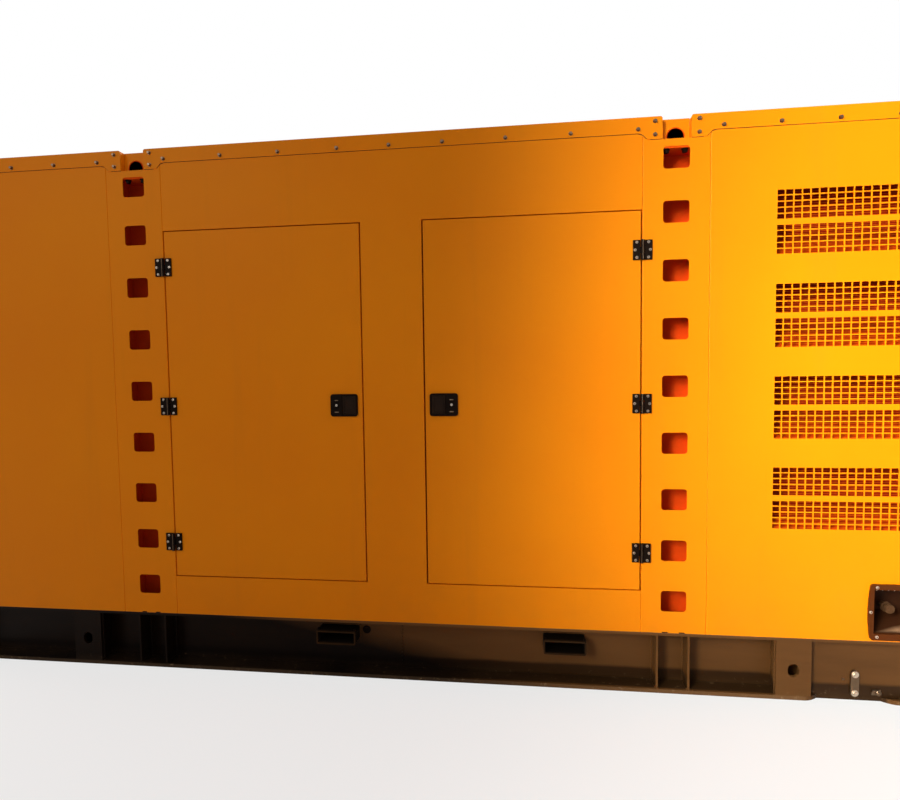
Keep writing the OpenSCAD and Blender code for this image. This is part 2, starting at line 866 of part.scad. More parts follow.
// Outline of the frame: a rectangle with round corners whose left side swells outwards
module box_outline(inset) {
    w = box_w - box_bulge - 2 * inset;
    h = box_h - 2 * inset;
    r = box_r;
    translate([x_right + box_x + box_bulge + inset, z_base + box_lift + inset])
        polygon(concat(
            corner_arc(w - r, r, r, 270), corner_arc(w - r, h - r, r, 0),
            corner_arc(r, h - r, r, 90), swell(h, r), corner_arc(r, r, r, 180)));
}

module service_recess() {
    bezel_t = 10;
    x0 = x_right + box_x + box_bulge + box_side;
    z0 = z_base + box_lift + box_foot;
    z1 = z_base + box_lift + box_h - box_head;
    w = box_w - box_bulge - 2 * box_side;
    y0 = y_face - bezel_t;
    y1 = y_face + box_d - 5;
    color(black) difference() {
        union() {
            slab(y0, bezel_t) box_outline(0);
            slab(y_face, box_d) box_outline(box_hole_in + 0.3);
        }
        side_slab(x0, w)
            polygon([[y0 - eps, z0], [y_face + 20, z0], [y1, z0 + 50], [y1, z1], [y0 - eps, z1]]);
    }
}

// Screw caps on short necks in the back of the recess
cap_in = 111;

module service_caps() {
    z = z_base + box_lift + box_h / 2 - 10;
    y = y_face + box_d - 5;
    color(black) for (x = [x_right + box_x + cap_in, x_right + box_x + box_w - cap_in])
        translate([x, y, z]) rotate([90, 0, 0]) union() {
            cylinder(64, r = 12, $fn = mesh_fn);
            translate([0, 0, 30]) cylinder(9, r = 20, $fn = mesh_fn);
            translate([0, 0, 44]) cylinder(20, r = 16, $fn = mesh_fn);
        }
}

// ---- acoustic lining inside the walls and roofs ----

module lining_slab(x0, len, z0, h) {
    translate([x0, y_face + sheet_t, z0]) cube([len, lining_t, h]);
}

module acoustic_lining() {
    m = sheet_t + 2;
    z0 = z_base + m;
    h = wall_h - 2 * m;
    roof_z = z_top - sheet_t - lining_t;
    color(black) {
        for (side = ["front", "rear"]) on_side(side) {
            lining_slab(x_left + m, left_len - 2 * m, z0, h);
            lining_slab(x_right + m, grille_inset - 30 - m, z0, h);
            lining_slab(x_right + grille_inset + cells_len + 30,
                right_len - grille_inset - cells_len - 30 - m,
                z0 + box_h + 10, h - box_h - 10);
        }
        translate([x_end - sheet_t - lining_t, -end_w / 2 + m, z0])
            cube([lining_t, end_w - 2 * m, end_h - 2 * m]);
        for (span = [[x_left + fold_d, notch_l - m - roof_corner_r],
                     [notch_l + notch_w + m + roof_corner_r, notch_r - m - roof_corner_r],
                     [notch_r + notch_w + m + roof_corner_r, x_end - fold_d]])
            translate([span[0], y_face + fold_d + 4, roof_z])
                cube([span[1] - span[0], body_w - 2 * fold_d - 8, lining_t]);
    }
}

// ---- machine inside ----

engine_x = x_mid + 30;
fly_x = engine_x + engine_len;
z_floor = cross_top + floor_t;

block_z = crank_z - 140;
block_h = 520;
block_top = block_z + block_h;
head_top = block_top + 119;
pulley_x = engine_x - 60;
turbo_x = fly_x - 330;
turbo_len = 180;
turbo_up = 120;
air_z = head_top + 136;
alt_x = fly_x + 119;
alt_r = alternator_d / 2;
alt_box_top = crank_z + alt_r + 200;

module foot(x, y, w, top) {
    translate([x - 50, y - w / 2, z_floor]) cube([100, w, top - z_floor]);
}

// Round bar along X
module rod(x, y, z, len, r) {
    translate([x, y, z]) rotate([0, 90, 0]) cylinder(len, r = r, $fn = mesh_fn);
}

module engine() {
    head_pitch = (engine_len - 100) / 6;
    color("darkslategray") union() {
        translate([engine_x, -engine_w / 2, block_z]) cube([engine_len, engine_w, block_h]);
        translate([engine_x + 60, -engine_w / 2 + 90, block_z - 220])
            cube([engine_len - 200, engine_w - 180, 221]);
        for (k = [0 : 5]) {
            translate([engine_x + 60 + k * head_pitch, -150, block_top - 1])
                cube([head_pitch - 24, 300, 120]);
            rod(engine_x + 60 + k * head_pitch, -engine_w / 2 - 20, block_top - 110,
                head_pitch - 60, 42);
        }
        rod(engine_x + 50, engine_w / 2 - 60, block_top + 40, engine_len - 150, 55);
        for (k = [0 : 2])
            translate([engine_x + 420 + k * 130, -engine_w / 2 - 58, block_z + 20])
                cylinder(190, r = 55, $fn = mesh_fn);
        translate([engine_x + 340, -engine_w / 2 - 120, block_z + 209])
            cube([400, 125, 60]);
        rod(fly_x - 1, 0, crank_z, 120, 330);
        rod(pulley_x, 0, crank_z + 60, 62, 160);
        rod(turbo_x, 0, air_z, turbo_len, 105);
        translate([turbo_x + 45, -70, block_top + 60]) cube([90, 140, air_z - block_top - 60]);
        translate([turbo_x + turbo_len / 2, 0, air_z]) cylinder(turbo_up, r = 60, $fn = mesh_fn);
        for (y = [-1, 1], x = [engine_x + 160, fly_x - 160])
            foot(x, y * (engine_w / 2 - 20), 120, crank_z - 130);
    }
}

module alternator() {
    color("darkslategray") union() {
        rod(alt_x, 0, crank_z, alternator_len - 50, alt_r);
        rod(alt_x, 0, crank_z, 30, alt_r + 8);
        for (k = [0 : 3]) rod(alt_x + 150 + k * 150, 0, crank_z, 30, alt_r + 6);
        rod(alt_x + alternator_len - 51, 0, crank_z, 51, alt_r - 50);
        translate([alt_x + 160, -260, crank_z + alt_r - 60])
            cube([alternator_len - 260, 520, 260]);
        for (y = [-1, 1], x = [alt_x + 160, alt_x + alternator_len - 160])
            foot(x, y * (alt_r - 120), 110, crank_z - 60);
    }
}

// Radiator with a shroud that narrows to the fan's ring
radiator_h = canopy_h - 393;
radiator_x = x_post_l - 120;
core_d = 150;
core_in = 40;
tank_h = 150;
shroud_d = 150;
ring_r = 0.36 * core_w;
fan_z = crank_z + 140;
shroud_z = fan_z - ring_r - 12;

module radiator() {
    frame_t = 60;
    color("dimgray") difference() {
        union() {
            translate([radiator_x - core_d, -core_w / 2, z_floor])
                cube([core_d, core_w, radiator_h]);
            translate([radiator_x - 1, -core_w / 2 + frame_t, shroud_z])
                cube([shroud_d, core_w - 2 * frame_t, z_floor + radiator_h - 80 - shroud_z]);
            rod(radiator_x + shroud_d - 2, 0, fan_z, 90, ring_r);
        }
        rod(radiator_x + 10, 0, fan_z, 300, ring_r - 8);
        translate([radiator_x - core_d - eps, -core_w / 2 + frame_t, z_floor + tank_h])
            cube([core_in + eps, core_w - 2 * frame_t, radiator_h - 2 * tank_h]);
    }
}

module cooling_fan() {
    fan_x = radiator_x + shroud_d - 20;
    hub_r = 110;
    blade_l = ring_r - hub_r - 30;
    color("dimgray") union() {
        rod(fan_x, 0, fan_z, 80, hub_r);
        rod(fan_x + 79, 0, fan_z, pulley_x - fan_x - 79, 40);
        for (k = [0 : 8])
            translate([fan_x + 40, 0, fan_z]) rotate([k * 40, 0, 0])
                translate([0, 0, hub_r - 10]) rotate([0, 0, 35])
                    translate([-3, -60, 0]) cube([6, 120, blade_l]);
    }
}

// Hoses with round elbows between the radiator's tanks and the block
module hose(points, r) {
    for (k = [0 : len(points) - 2]) {
        a = points[k];
        b = points[k + 1];
        if (abs(b[0] - a[0]) > 0) rod(min(a[0], b[0]), a[1], a[2], abs(b[0] - a[0]), r);
        else translate([a[0], a[1], min(a[2], b[2])])
            cylinder(abs(b[2] - a[2]), r = r, $fn = mesh_fn);
    }
    for (k = [1 : len(points) - 2]) translate(points[k]) sphere(r + 4, $fn = mesh_fn);
}

module coolant_hoses() {
    r = 34;
    top_z = z_floor + radiator_h - 40;
    low_z = z_floor + 98;
    y = -230;
    bend_x = engine_x - 90;
    color(black) {
        hose([[radiator_x, y, top_z], [engine_x + 40, y, top_z], [engine_x + 40, y, block_top]],
             r);
        hose([[radiator_x, y, low_z], [bend_x, y, low_z], [bend_x, y, block_z + 60],
              [engine_x, y, block_z + 60]], r);
    }
}

// Air cleaner on two brackets, with its pipe to the turbocharger
module air_filter() {
    x0 = engine_x + 200;
    len = 400;
    color(black) union() {
        rod(x0, 0, air_z, len, 125);
        rod(x0 + 60, 0, air_z, 30, 131);
        rod(x0 + len - 1, 0, air_z, turbo_x - x0 - len + 1, 48);
        for (x = [x0 + 70, x0 + 280])
            translate([x, -60, head_top]) cube([40, 120, 60]);
    }
}

module exhaust_silencer() {
    r = silencer_d / 2;
    hang_h = 101;
    z_hang = z_top - sheet_t - lining_t;
    z = z_hang - hang_h - r;
    x0 = x_mid + 250;
    riser_x = turbo_x + turbo_len / 2;
    z_turbo = air_z + turbo_up;
    tail_len = x0 - x_left - 170;
    color("gray") union() {
        rod(x0, 0, z, silencer_len, r);
        for (x = [x0 + 40, x0 + silencer_len - 70]) rod(x, 0, z, 30, r + 5);
        rod(x0 - tail_len, 0, z, tail_len + 1, 55);
        translate([riser_x, 0, z_turbo]) cylinder(z - z_turbo, r = 52, $fn = mesh_fn);
        translate([riser_x, 0, z_turbo]) cylinder(16, r = 78, $fn = mesh_fn);
        for (k = [0 : 4])
            translate([riser_x, 0, z_turbo + 40 + k * 24])
                cylinder(12, r = 62, $fn = mesh_fn);
        for (x = [x0 + 150, x0 + silencer_len - 210])
            translate([x, -25, z]) cube([60, 50, z_hang - z]);
    }
}

module batteries() {
    x0 = alt_x + 130;
    y0 = y_face + 130;
    box = [260, 200, 220];
    color(black) union() {
        translate([x0 - 10, y0 - 10, z_floor]) cube([2 * box[0] + 40, box[1] + 20, 20]);
        for (k = [0, 1]) translate([x0 + k * (box[0] + 20), y0, z_floor + 19]) {
            cube(box);
            for (x = [40, box[0] - 40])
                translate([x, box[1] / 2, box[2] - 1]) cylinder(20, r = 11, $fn = mesh_fn);
        }
    }
}

// Cabinet on two legs behind the right door
module control_cabinet() {
    x0 = alt_x + 170;
    w = 480;
    y0 = y_face + 210;
    d = 200;
    z0 = alt_box_top + 40;
    h = min(560, z_top - 260 - z0);
    color("lightgray") union() {
        translate([x0, y0, z0]) cube([w, d, h]);
        translate([x0 + 15, y0 - 12, z0 + 15]) cube([w - 30, 13, h - 30]);
        for (x = [x0 + 5, x0 + w - 45])
            translate([x, y0 + d - 40, z_floor]) cube([40, 40, z0 - z_floor + 1]);
    }
}

skid_rail_front();
skid_rail_rear();
skid_plates();
skid_ends();
cross_members();
fork_pockets();
base_floor();
earth_bar();
lifting_posts();
lifting_plates();
post_cover_left_front();
post_cover_right_front();
post_cover_left_rear();
post_cover_right_rear();
left_wall_front();
left_wall_rear();
left_end_wall();
discharge_louvre();
left_roof();
mid_frame_front();
mid_frame_rear();
mid_roof();
door_seals();
right_wall_front();
right_wall_rear();
intake_grille_front();
intake_grille_rear();
right_end_wall();
right_roof();
intake_baffles();
service_recess();
service_caps();
roof_gutters();
acoustic_lining();
door_left_front();
door_left_front_lining();
door_left_front_fittings();
door_left_front_paddle();
door_right_front();
door_right_front_lining();
door_right_front_fittings();
door_right_front_paddle();
door_left_rear();
door_left_rear_lining();
door_left_rear_fittings();
door_left_rear_paddle();
door_right_rear();
door_right_rear_lining();
door_right_rear_fittings();
door_right_rear_paddle();
frame_hinges();
engine();
alternator();
radiator();
cooling_fan();
coolant_hoses();
air_filter();
exhaust_silencer();
batteries();
control_cabinet();
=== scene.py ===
# %% [markdown]
# # Dressing a silent diesel generating set
# The machine is a steel canopy on a black skid. Every rigid piece already exists as a packed
# model, so this lesson never moves or reshapes it. It adds what a drawing leaves out: paint,
# rubber, foam, screws, welds and the small fittings, then light and a camera.

# %% Load the frame
import json
import math

import bmesh
import bpy
from mathutils import Matrix, Vector


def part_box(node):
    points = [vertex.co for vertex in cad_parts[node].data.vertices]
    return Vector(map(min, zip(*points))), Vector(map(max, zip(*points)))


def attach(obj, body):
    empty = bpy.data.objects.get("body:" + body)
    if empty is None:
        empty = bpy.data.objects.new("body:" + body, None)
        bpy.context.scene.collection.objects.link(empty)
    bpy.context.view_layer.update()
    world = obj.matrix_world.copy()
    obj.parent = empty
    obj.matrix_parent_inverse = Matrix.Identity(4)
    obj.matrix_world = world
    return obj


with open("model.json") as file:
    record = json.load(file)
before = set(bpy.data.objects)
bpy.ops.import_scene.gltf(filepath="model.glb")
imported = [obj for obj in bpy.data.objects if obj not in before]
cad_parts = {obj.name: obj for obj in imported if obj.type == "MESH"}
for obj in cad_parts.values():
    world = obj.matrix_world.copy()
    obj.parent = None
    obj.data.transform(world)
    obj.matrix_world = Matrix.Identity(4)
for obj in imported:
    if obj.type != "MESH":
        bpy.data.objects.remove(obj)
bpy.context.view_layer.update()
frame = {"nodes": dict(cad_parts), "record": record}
nodes = frame["nodes"]
ROOT = "canopy_and_skid"

# %% [markdown]
# ## Node trees as plain Python
# Materials and repeated fittings are node trees, which are tedious to wire by hand. `Num`
# wraps one socket, and its operators add Math nodes, so a mask is written `1 - dust * 0.5`.
# Every other node comes from `Graph.add`, which sets its options first, then its sockets.

# %% Num, a socket that can be added and multiplied
class Num:
    """One output socket; arithmetic on it adds Math nodes to its tree."""

    def __init__(self, tree, socket):
        self.tree, self.socket = tree, socket

    def maths(self, operation, *terms, clamp=False):
        node = self.tree.nodes.new("ShaderNodeMath")
        node.operation, node.use_clamp = operation, clamp
        for slot, term in zip(node.inputs, terms):
            plug(self.tree, slot, term)
        return Num(self.tree, node.outputs[0])

    def __add__(self, other):
        return self.maths("ADD", self, other)

    __radd__ = __add__

    def __mul__(self, other):
        return self.maths("MULTIPLY", self, other)

    __rmul__ = __mul__

    def __sub__(self, other):
        return self.maths("SUBTRACT", self, other)

    def __rsub__(self, other):
        return self.maths("SUBTRACT", other, self)

    def clamp(self):
        return self.maths("ADD", self, 0.0, clamp=True)

    def absolute(self):
        return self.maths("ABSOLUTE", self)

    def sine(self):
        return self.maths("SINE", self)


def plug(tree, slot, value):
    """Links a Num to a socket, or writes a plain value into it."""
    if isinstance(value, Num):
        tree.links.new(value.socket, slot)
    else:
        slot.default_value = value


print("a Num knows:", [name for name in vars(Num) if name[0] != "_"])

# %% Graph, a tree under construction
class Graph:
    """A node tree under construction."""

    def __init__(self, tree):
        self.tree = tree

    def add(self, kind, inputs=None, out=0, **settings):
        """Adds a node and returns one of its outputs, if it has any."""
        node = self.tree.nodes.new(kind)
        for name, value in settings.items():
            setattr(node, name, value)
        for name, value in (inputs or {}).items():
            plug(self.tree, node.inputs[name], value)
        return Num(self.tree, node.outputs[out]) if node.outputs else None


print("nodes are added by", Graph.add.__qualname__)

# %% Finish, a material
FINISHES = {}


class Finish(Graph):
    """A material in object coordinates; it enters itself in the table of finishes."""

    def __init__(self, name, specular, **constants):
        self.material = FINISHES[name] = bpy.data.materials.new(name)
        self.material.use_nodes = True
        super().__init__(self.material.node_tree)
        self.shader = self.tree.nodes["Principled BSDF"]
        self.place = self.add("ShaderNodeTexCoord", out="Object")
        self.set(Specular_IOR_Level=specular, **constants)

    def set(self, **values):
        for name, value in values.items():
            plug(self.tree, self.shader.inputs[name.replace("_", " ")], value)

    def axes(self):
        parts = self.add("ShaderNodeSeparateXYZ", {0: self.place}).socket.node
        return [Num(self.tree, part) for part in parts.outputs]

    def noise(self, scale, detail, rough, stretch=None):
        place = self.place
        if stretch:
            place = self.add("ShaderNodeMapping", {0: place, "Scale": stretch})
        return self.add("ShaderNodeTexNoise", {
            "Vector": place, "Scale": scale, "Detail": detail, "Roughness": rough})

    def spread(self, value, low, high):
        """Stretches the part of a value between low and high to 0..1."""
        return self.add("ShaderNodeMapRange", {
            "Value": value, "From Min": low, "From Max": high})

    def patches(self, scale, detail, rough, low, high, stretch=None):
        """Noise whose part between low and high is stretched to 0..1."""
        return self.spread(self.noise(scale, detail, rough, stretch), low, high)

    def mix(self, factor, first, second):
        """Inputs 0, 6 and 7 of a Mix node are its factor and its two colours."""
        return self.add("ShaderNodeMix", {0: factor, 6: first, 7: second}, 2, data_type="RGBA")

    def look(self, colour, rough, height, strength, distance):
        """Sets what varies over the surface: colour, roughness and the bump of a height."""
        bump = self.add("ShaderNodeBump", {
            "Height": height, "Strength": strength, "Distance": distance})
        self.set(Base_Color=colour, Roughness=rough, Normal=bump)


def rgb(red, green, blue):
    """A 0..255 screen colour as the linear colour that a shader wants."""
    linear = [(c / 255 / 12.92) if c <= 10 else ((c / 255 + 0.055) / 1.055) ** 2.4
              for c in (red, green, blue)]
    return (*linear, 1.0)


print("a test colour:", [round(c, 3) for c in rgb(238, 147, 0)])

# %% [markdown]
# ## Canopy paint
# The canopy is powder coated in a warm orange yellow. Powder flows out a little unevenly, so
# the skin has a fine orange peel. Rain leaves faint vertical runs, and dust gathers near the
# skid and on the roofs, all so weak that the panels look clean from two metres. The coat is
# half matt, so its specular level is low, which also keeps the hue deep instead of milky.

# %% Canopy paint
f = Finish("canopy_paint", 0.12)
height = f.axes()[2]
cloud = f.patches(1.3, 4, 0.55, 0.3, 0.7)
streak = f.patches(9, 4, 0.6, 0.56, 0.78, (1, 1, 0.06))
near_skid = f.spread(height, 0.62, 0.25)
roof_top = f.spread(height, 2.2585, 2.2605)
film = f.patches(5, 5, 0.6, 0.4, 0.75)
speck = f.patches(160, 2, 0.5, 0.66, 0.74)
dust_and_painted_light = (streak * 0.10 + near_skid * film * 0.14 + speck * near_skid * 0.16
        + roof_top * film * 0.2).clamp()
paint = f.mix(cloud, rgb(236, 131, 0), rgb(240, 138, 0))
peel = f.noise(420, 1, 0.4)
wave = f.noise(5, 2, 0.4)
f.look(f.mix(dust_and_painted_light, paint, rgb(166, 104, 36)), 0.46 + dust_and_painted_light * 0.35 + cloud * 0.05,
       peel * 0.3 + wave * 2.2, 0.12, 0.004)
print("canopy paint nodes:", len(f.tree.nodes))

# %% [markdown]
# ## Paint darkened with depth
# Posts and baffles sit behind holes in the sheet in front of them. The deeper a surface lies,
# the darker and redder it is painted: painted shade for the shade inside the posts and behind
# the grilles. The depth is read from the distance to the middle plane, and noise breaks up
# the edge. Baffles also have fine pressed ribs, with crests painted lighter and grooves
# darker, a painted highlight and painted shade. In other colours the recipe makes fork
# pockets that are dusty at the mouth.

# %% Paint that darkens with depth, a painted shade
RIB_TURNS = math.tau / 0.0078


def darkened_with_depth(name, outer, inner, deep_colour, paint, ribbed=False):
    """Paint at the depth `outer` from the middle plane that turns to the deep colour at `inner`.
    """
    f = Finish(name, 0.06)
    # Deeper surfaces are painted darker and redder: painted shade in posts and baffles. In the
    # fork pockets the paler mouth is dust.
    depth = f.axes()[1].absolute() + f.noise(6, 4, 0.6) * 0.03
    toward_face = f.spread(depth, inner + 0.015, outer + 0.015)
    blot = f.patches(18, 4, 0.6, 0.35, 0.7)
    base = f.mix(blot * 0.6, deep_colour, (*(c * 1.5 for c in deep_colour[:3]), 1.0))
    colour, rough = f.mix(toward_face.clamp(), base, paint), 0.62 + blot * 0.12
    grain = f.noise(240, 3, 0.6)
    if ribbed:
        # Rib crests painted lighter and grooves darker: painted highlight and painted shade.
        ribs = f.spread((f.axes()[2] * RIB_TURNS).sine(), -0.3, 0.8)
        colour = f.mix(ribs * 0.3, colour, rgb(236, 120, 6))
        f.look(colour, rough, ribs + grain * 0.2, 0.35, 0.002)
    else:
        f.look(colour, rough, grain, 0.2, 0.002)


darkened_with_depth("post_paint", 0.90, 0.70, rgb(204, 56, 10), rgb(230, 88, 2))
darkened_with_depth("fork_paint", 0.862, 0.835, rgb(16, 9, 5), rgb(66, 44, 24))
darkened_with_depth("baffle_paint", 0.860, 0.735, rgb(128, 20, 4), rgb(178, 50, 3), ribbed=True)
print("finishes so far:", list(FINISHES))

# %% [markdown]
# ## Skid paint
# The skid is rolled steel brushed with black enamel, which shines softly in long waves.
# Towards the intake end and upwards the rails are painted brown: painted light and painted
# reflection over a thin film of dust, less far along their foot. The painted light fades out in
# a band low on the web, and the lips of the flanges get a paler edge, partly wear and partly
# a painted highlight.

# %% Skid paint
f = Finish("skid_paint", 0.11)
x, y, z = f.axes()
off_middle = y.absolute()
film = f.patches(3, 5, 0.6, 0.3, 0.75, (0.4, 1, 2))
# Brown towards the intake end and upwards: painted light and painted reflection.
lit_intake_end = f.spread(x + z * 4.4 + f.noise(2, 3, 0.5) * 0.2, 0.15, 0.60)
plates = f.spread(off_middle, 0.835, 0.842)
# A band low on the web where the painted light fades out.
low_web_band = f.spread(z + f.noise(4, 3, 0.5) * 0.02, 0.080, 0.067) * (1 - plates)
near = f.spread(x, 1.4, 0.4)
# A thin dust film plus the painted light of the intake end, more on the plates in front and nearer
# the middle.
cover = film * (0.06 + lit_intake_end * 0.22) + lit_intake_end * (0.42 + plates * 0.10 + near * 0.24)
dust_and_painted_light = (cover * (1 - low_web_band * 0.75)).clamp()
chip = f.patches(48, 6, 0.7, 0.60, 0.68)
upper_lip = f.spread(z, 0.2455, 0.2475)
lower_lip = f.spread(z, 0.0165, 0.0145)
# Paler lips of the flanges: partly wear, partly painted highlight.
lip = (f.spread(off_middle, 0.8485, 0.8498) * (upper_lip + lower_lip * 0.6)).clamp()
foot = f.spread(z, 0.045, 0.0) * f.patches(5, 4, 0.6, 0.35, 0.85, (0.5, 1, 1))
dusty_and_painted_light = f.mix(dust_and_painted_light, rgb(15, 8, 5), rgb(108, 71, 36))
dirty = f.mix(foot * 0.35, dusty_and_painted_light, rgb(104, 76, 46))
worn_and_highlit = (lip * (0.25 + chip * 0.5) + chip * f.spread(z, 0.05, 0.0) * 0.4).clamp()
wave = f.noise(6, 3, 0.5, (0.5, 1, 1.6))
f.look(f.mix(worn_and_highlit, dirty, rgb(150, 122, 94)), 0.28 + dust_and_painted_light * 0.35 + foot * 0.3,
       wave * 2.0 + f.noise(240, 2, 0.5) * 0.15, 0.2, 0.004)
print("skid paint nodes:", len(f.tree.nodes))

# %% [markdown]
# ## Blacks, rubber and foam
# Blacks that must not look alike: cast hinges and latches with a satin coat, grained
# mouldings, rubber with a fine bloom, and open foam moulded in a pyramid pattern. Only the
# foam's pattern follows a rule, three crossed waves, with its valleys painted darker, a painted
# shade. The rest is noise.

# %% The blacks, one row each
WARM = (0.004, 0.0025, 0.0015)


def satin_black(name, screen_colour, rough, grain_scale, grain, specular):
    f = Finish(name, specular)
    shade = rgb(*screen_colour)
    patch = f.patches(30, 4, 0.6, 0.35, 0.75)
    dusty_and_painted_light = (*(c * 1.9 + warm for c, warm in zip(shade, WARM)), 1.0)
    f.look(f.mix(patch * 0.6, shade, dusty_and_painted_light), rough + patch * 0.14,
           f.noise(grain_scale, 2, 0.6), grain, 0.0006)


for row in (("fitting_black", (18, 9, 5), 0.42, 700.0, 0.12, 0.05),
            ("black_moulding", (20, 12, 7), 0.52, 260.0, 0.3, 0.06),
            ("cap_moulding", (74, 50, 31), 0.6, 260.0, 0.35, 0.08),
            ("paddle_moulding", (32, 19, 11), 0.5, 260.0, 0.3, 0.08),
            ("seal_rubber", (18, 18, 18), 0.75, 400.0, 0.2, 0.3),
            ("hose_rubber", (22, 22, 22), 0.6, 300.0, 0.3, 0.3),
            ("battery_case", (30, 31, 34), 0.45, 200.0, 0.2, 0.3)):
    satin_black(*row)
print("blacks:", list(FINISHES)[5:])

# %% Acoustic foam
f = Finish("acoustic_foam", 0.2)
waves = [(axis * 105.0).sine().absolute() for axis in f.axes()]
egg = waves[0] + waves[1] + waves[2]
cells = f.noise(300, 3, 0.7)
sooty = f.patches(3, 4, 0.6, 0.4, 0.7)
# Valleys darker than the peaks: painted shade.
shade = f.mix(f.spread(egg, 0.5, 2.2), rgb(16, 16, 17), rgb(50, 50, 52))
f.look(f.mix(sooty * 0.4, shade, rgb(40, 34, 28)), 0.92 + cells * 0.06,
       egg * 0.8 + cells * 0.4, 0.7, 0.006)
print("foam nodes:", len(f.tree.nodes))

# %% [markdown]
# ## The moulding of the service recess
# The recess is a deep plastic tray. Its frame has faded to brown, the inside is painted darker,
# a painted shade, and on the sill, which slopes up to the back, a pale patch is painted where
# light falls, a painted light.
# The sill is found from how far a point lies above the line of its slope.

# %% Recess moulding, its painted shade and the painted light on its sill
f = Finish("recess_moulding", 0.08)
x, y, z = f.axes()
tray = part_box("service_recess")[0]
depth = y - (tray.y + 0.010)
above_sill = z - (tray.z + 0.025) - f.spread(depth, 0.020, 0.115) * 0.050
# Inside the tray the moulding is painted darker: painted shade.
inside = f.spread(depth, -0.004, 0.012)
# The pale patch on the sill, bounded like a fall of light: painted light.
lit_patch_edge = depth - (x - tray.x) * 0.30 + f.noise(9, 3, 0.5) * 0.02
dusty_and_painted_light = (f.spread(above_sill, 0.007, 0.002) * f.spread(depth, 0.004, 0.02)
         * f.spread(lit_patch_edge, 0.016, 0.0))
film = f.patches(26, 5, 0.6, 0.3, 0.7)
plastic = f.mix(inside, rgb(78, 37, 9), rgb(50, 25, 10))
f.look(f.mix(dusty_and_painted_light * (0.55 + film * 0.45), plastic, rgb(146, 110, 82)),
       0.5 + dusty_and_painted_light * 0.3 + film * 0.1, f.noise(260, 2, 0.6), 0.35, 0.0006)
print("recess moulding nodes:", len(f.tree.nodes))

# %% [markdown]
# ## Metals and machine enamels
# Bright zinc for small screws, duller steel for bolts that have weathered, heat-stained steel
# for the silencer, grey enamel on castings and cabinet. One recipe serves them all, because
# they differ only in shade, stain and shine. The radiator's black has its own, with the fine
# fins and tubes of the core as crossed waves, and the gaps between the fins painted darker, a
# painted shade.

# %% Metals and enamels, one row each
def enamel(name, shade, rough, stained, stain, metallic, grain=0.12):
    f = Finish(name, 0.4, Metallic=metallic)
    patch = f.patches(38, 5, 0.65, 0.4, 0.75)
    broad = f.patches(4, 4, 0.6, 0.35, 0.7)
    fine = f.noise(500, 2, 0.5)
    f.look(f.mix((patch * 0.6 + broad * 0.4) * stain, rgb(*shade), rgb(*stained)),
           rough + patch * 0.18 + fine * 0.06, fine + patch * 0.5, grain, 0.0008)


for row in (("bright_zinc", (222, 208, 192), 0.26, (150, 132, 112), 0.4, 1.0),
            ("weathered_steel", (128, 108, 88), 0.32, (66, 48, 34), 0.6, 1.0),
            ("silencer_steel", (150, 148, 142), 0.42, (112, 88, 62), 0.8, 1.0),
            ("engine_paint", (62, 69, 72), 0.4, (30, 29, 27), 0.6, 0.0),
            ("alternator_paint", (84, 90, 94), 0.45, (48, 47, 45), 0.5, 0.0),
            ("cabinet_paint", (176, 178, 172), 0.5, (140, 136, 126), 0.35, 0.0),
            ("signal_red", (176, 20, 14), 0.35, (110, 14, 10), 0.4, 0.0),
            ("dark_glass", (14, 20, 22), 0.08, (24, 30, 32), 0.3, 0.0, 0.01)):
    enamel(*row)
print("metals and enamels:", list(FINISHES)[14:])

# %% The radiator's black
f = Finish("radiator_paint", 0.35)
x, y, z = f.axes()
fins = (z * 1450.0).sine()
tubes = f.spread((y * 300.0).sine().absolute(), 0.55, 0.9)
patch = f.patches(20, 5, 0.6, 0.4, 0.75)
# Dark stripes between the fins: painted shade.
shade = f.mix(f.spread(fins, -0.6, 0.9) * 0.5, rgb(18, 18, 19), rgb(58, 57, 55))
f.look(f.mix(patch * 0.4 + tubes * 0.2, shade, rgb(74, 66, 56)), 0.45 + patch * 0.25,
       fins * 0.5 + tubes, 0.35, 0.002)
print("finishes:", len(FINISHES))

# %% [markdown]
# ## The finish of every node
# The record names one slot for each node, and each slot gets one finish. A few nodes wear a
# finish of their own: the paints darkened with depth, a painted shade in posts and baffles,
# the weathered earth bar, and the mouldings of the recess, its caps and the latch paddles.

# %% Dressing the nodes
OWN_FINISH = {"lifting_posts": "post_paint", "intake_baffles": "baffle_paint",
              "fork_pockets": "fork_paint", "service_recess": "recess_moulding",
              "service_caps": "cap_moulding", "earth_bar": "weathered_steel"}
for part in frame["record"]["subparts"]:
    node = part["node"]
    own = "paddle_moulding" if node.endswith("_paddle") else OWN_FINISH.get(node)
    mesh = nodes[node].data
    mesh.materials.clear()
    mesh.materials.append(FINISHES[own or part["material_slot"]])
STEEL, ZINC, BLACK, RUBBER = "weathered_steel", "bright_zinc", "fitting_black", "hose_rubber"

# %% [markdown]
# ## Places to measure from
# Later pieces take their places from the boxes of the nodes that carry them. The front long
# side faces -Y, and the rear is its mirror image, so a place is worked out once and mirrored
# by a sign. Places are in metres, and sizes of small parts in millimetres.

# %% Boxes of the carrying nodes
def low(node):
    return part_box(node)[0]


def high(node):
    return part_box(node)[1]


def middle(node):
    return (low(node) + high(node)) / 2


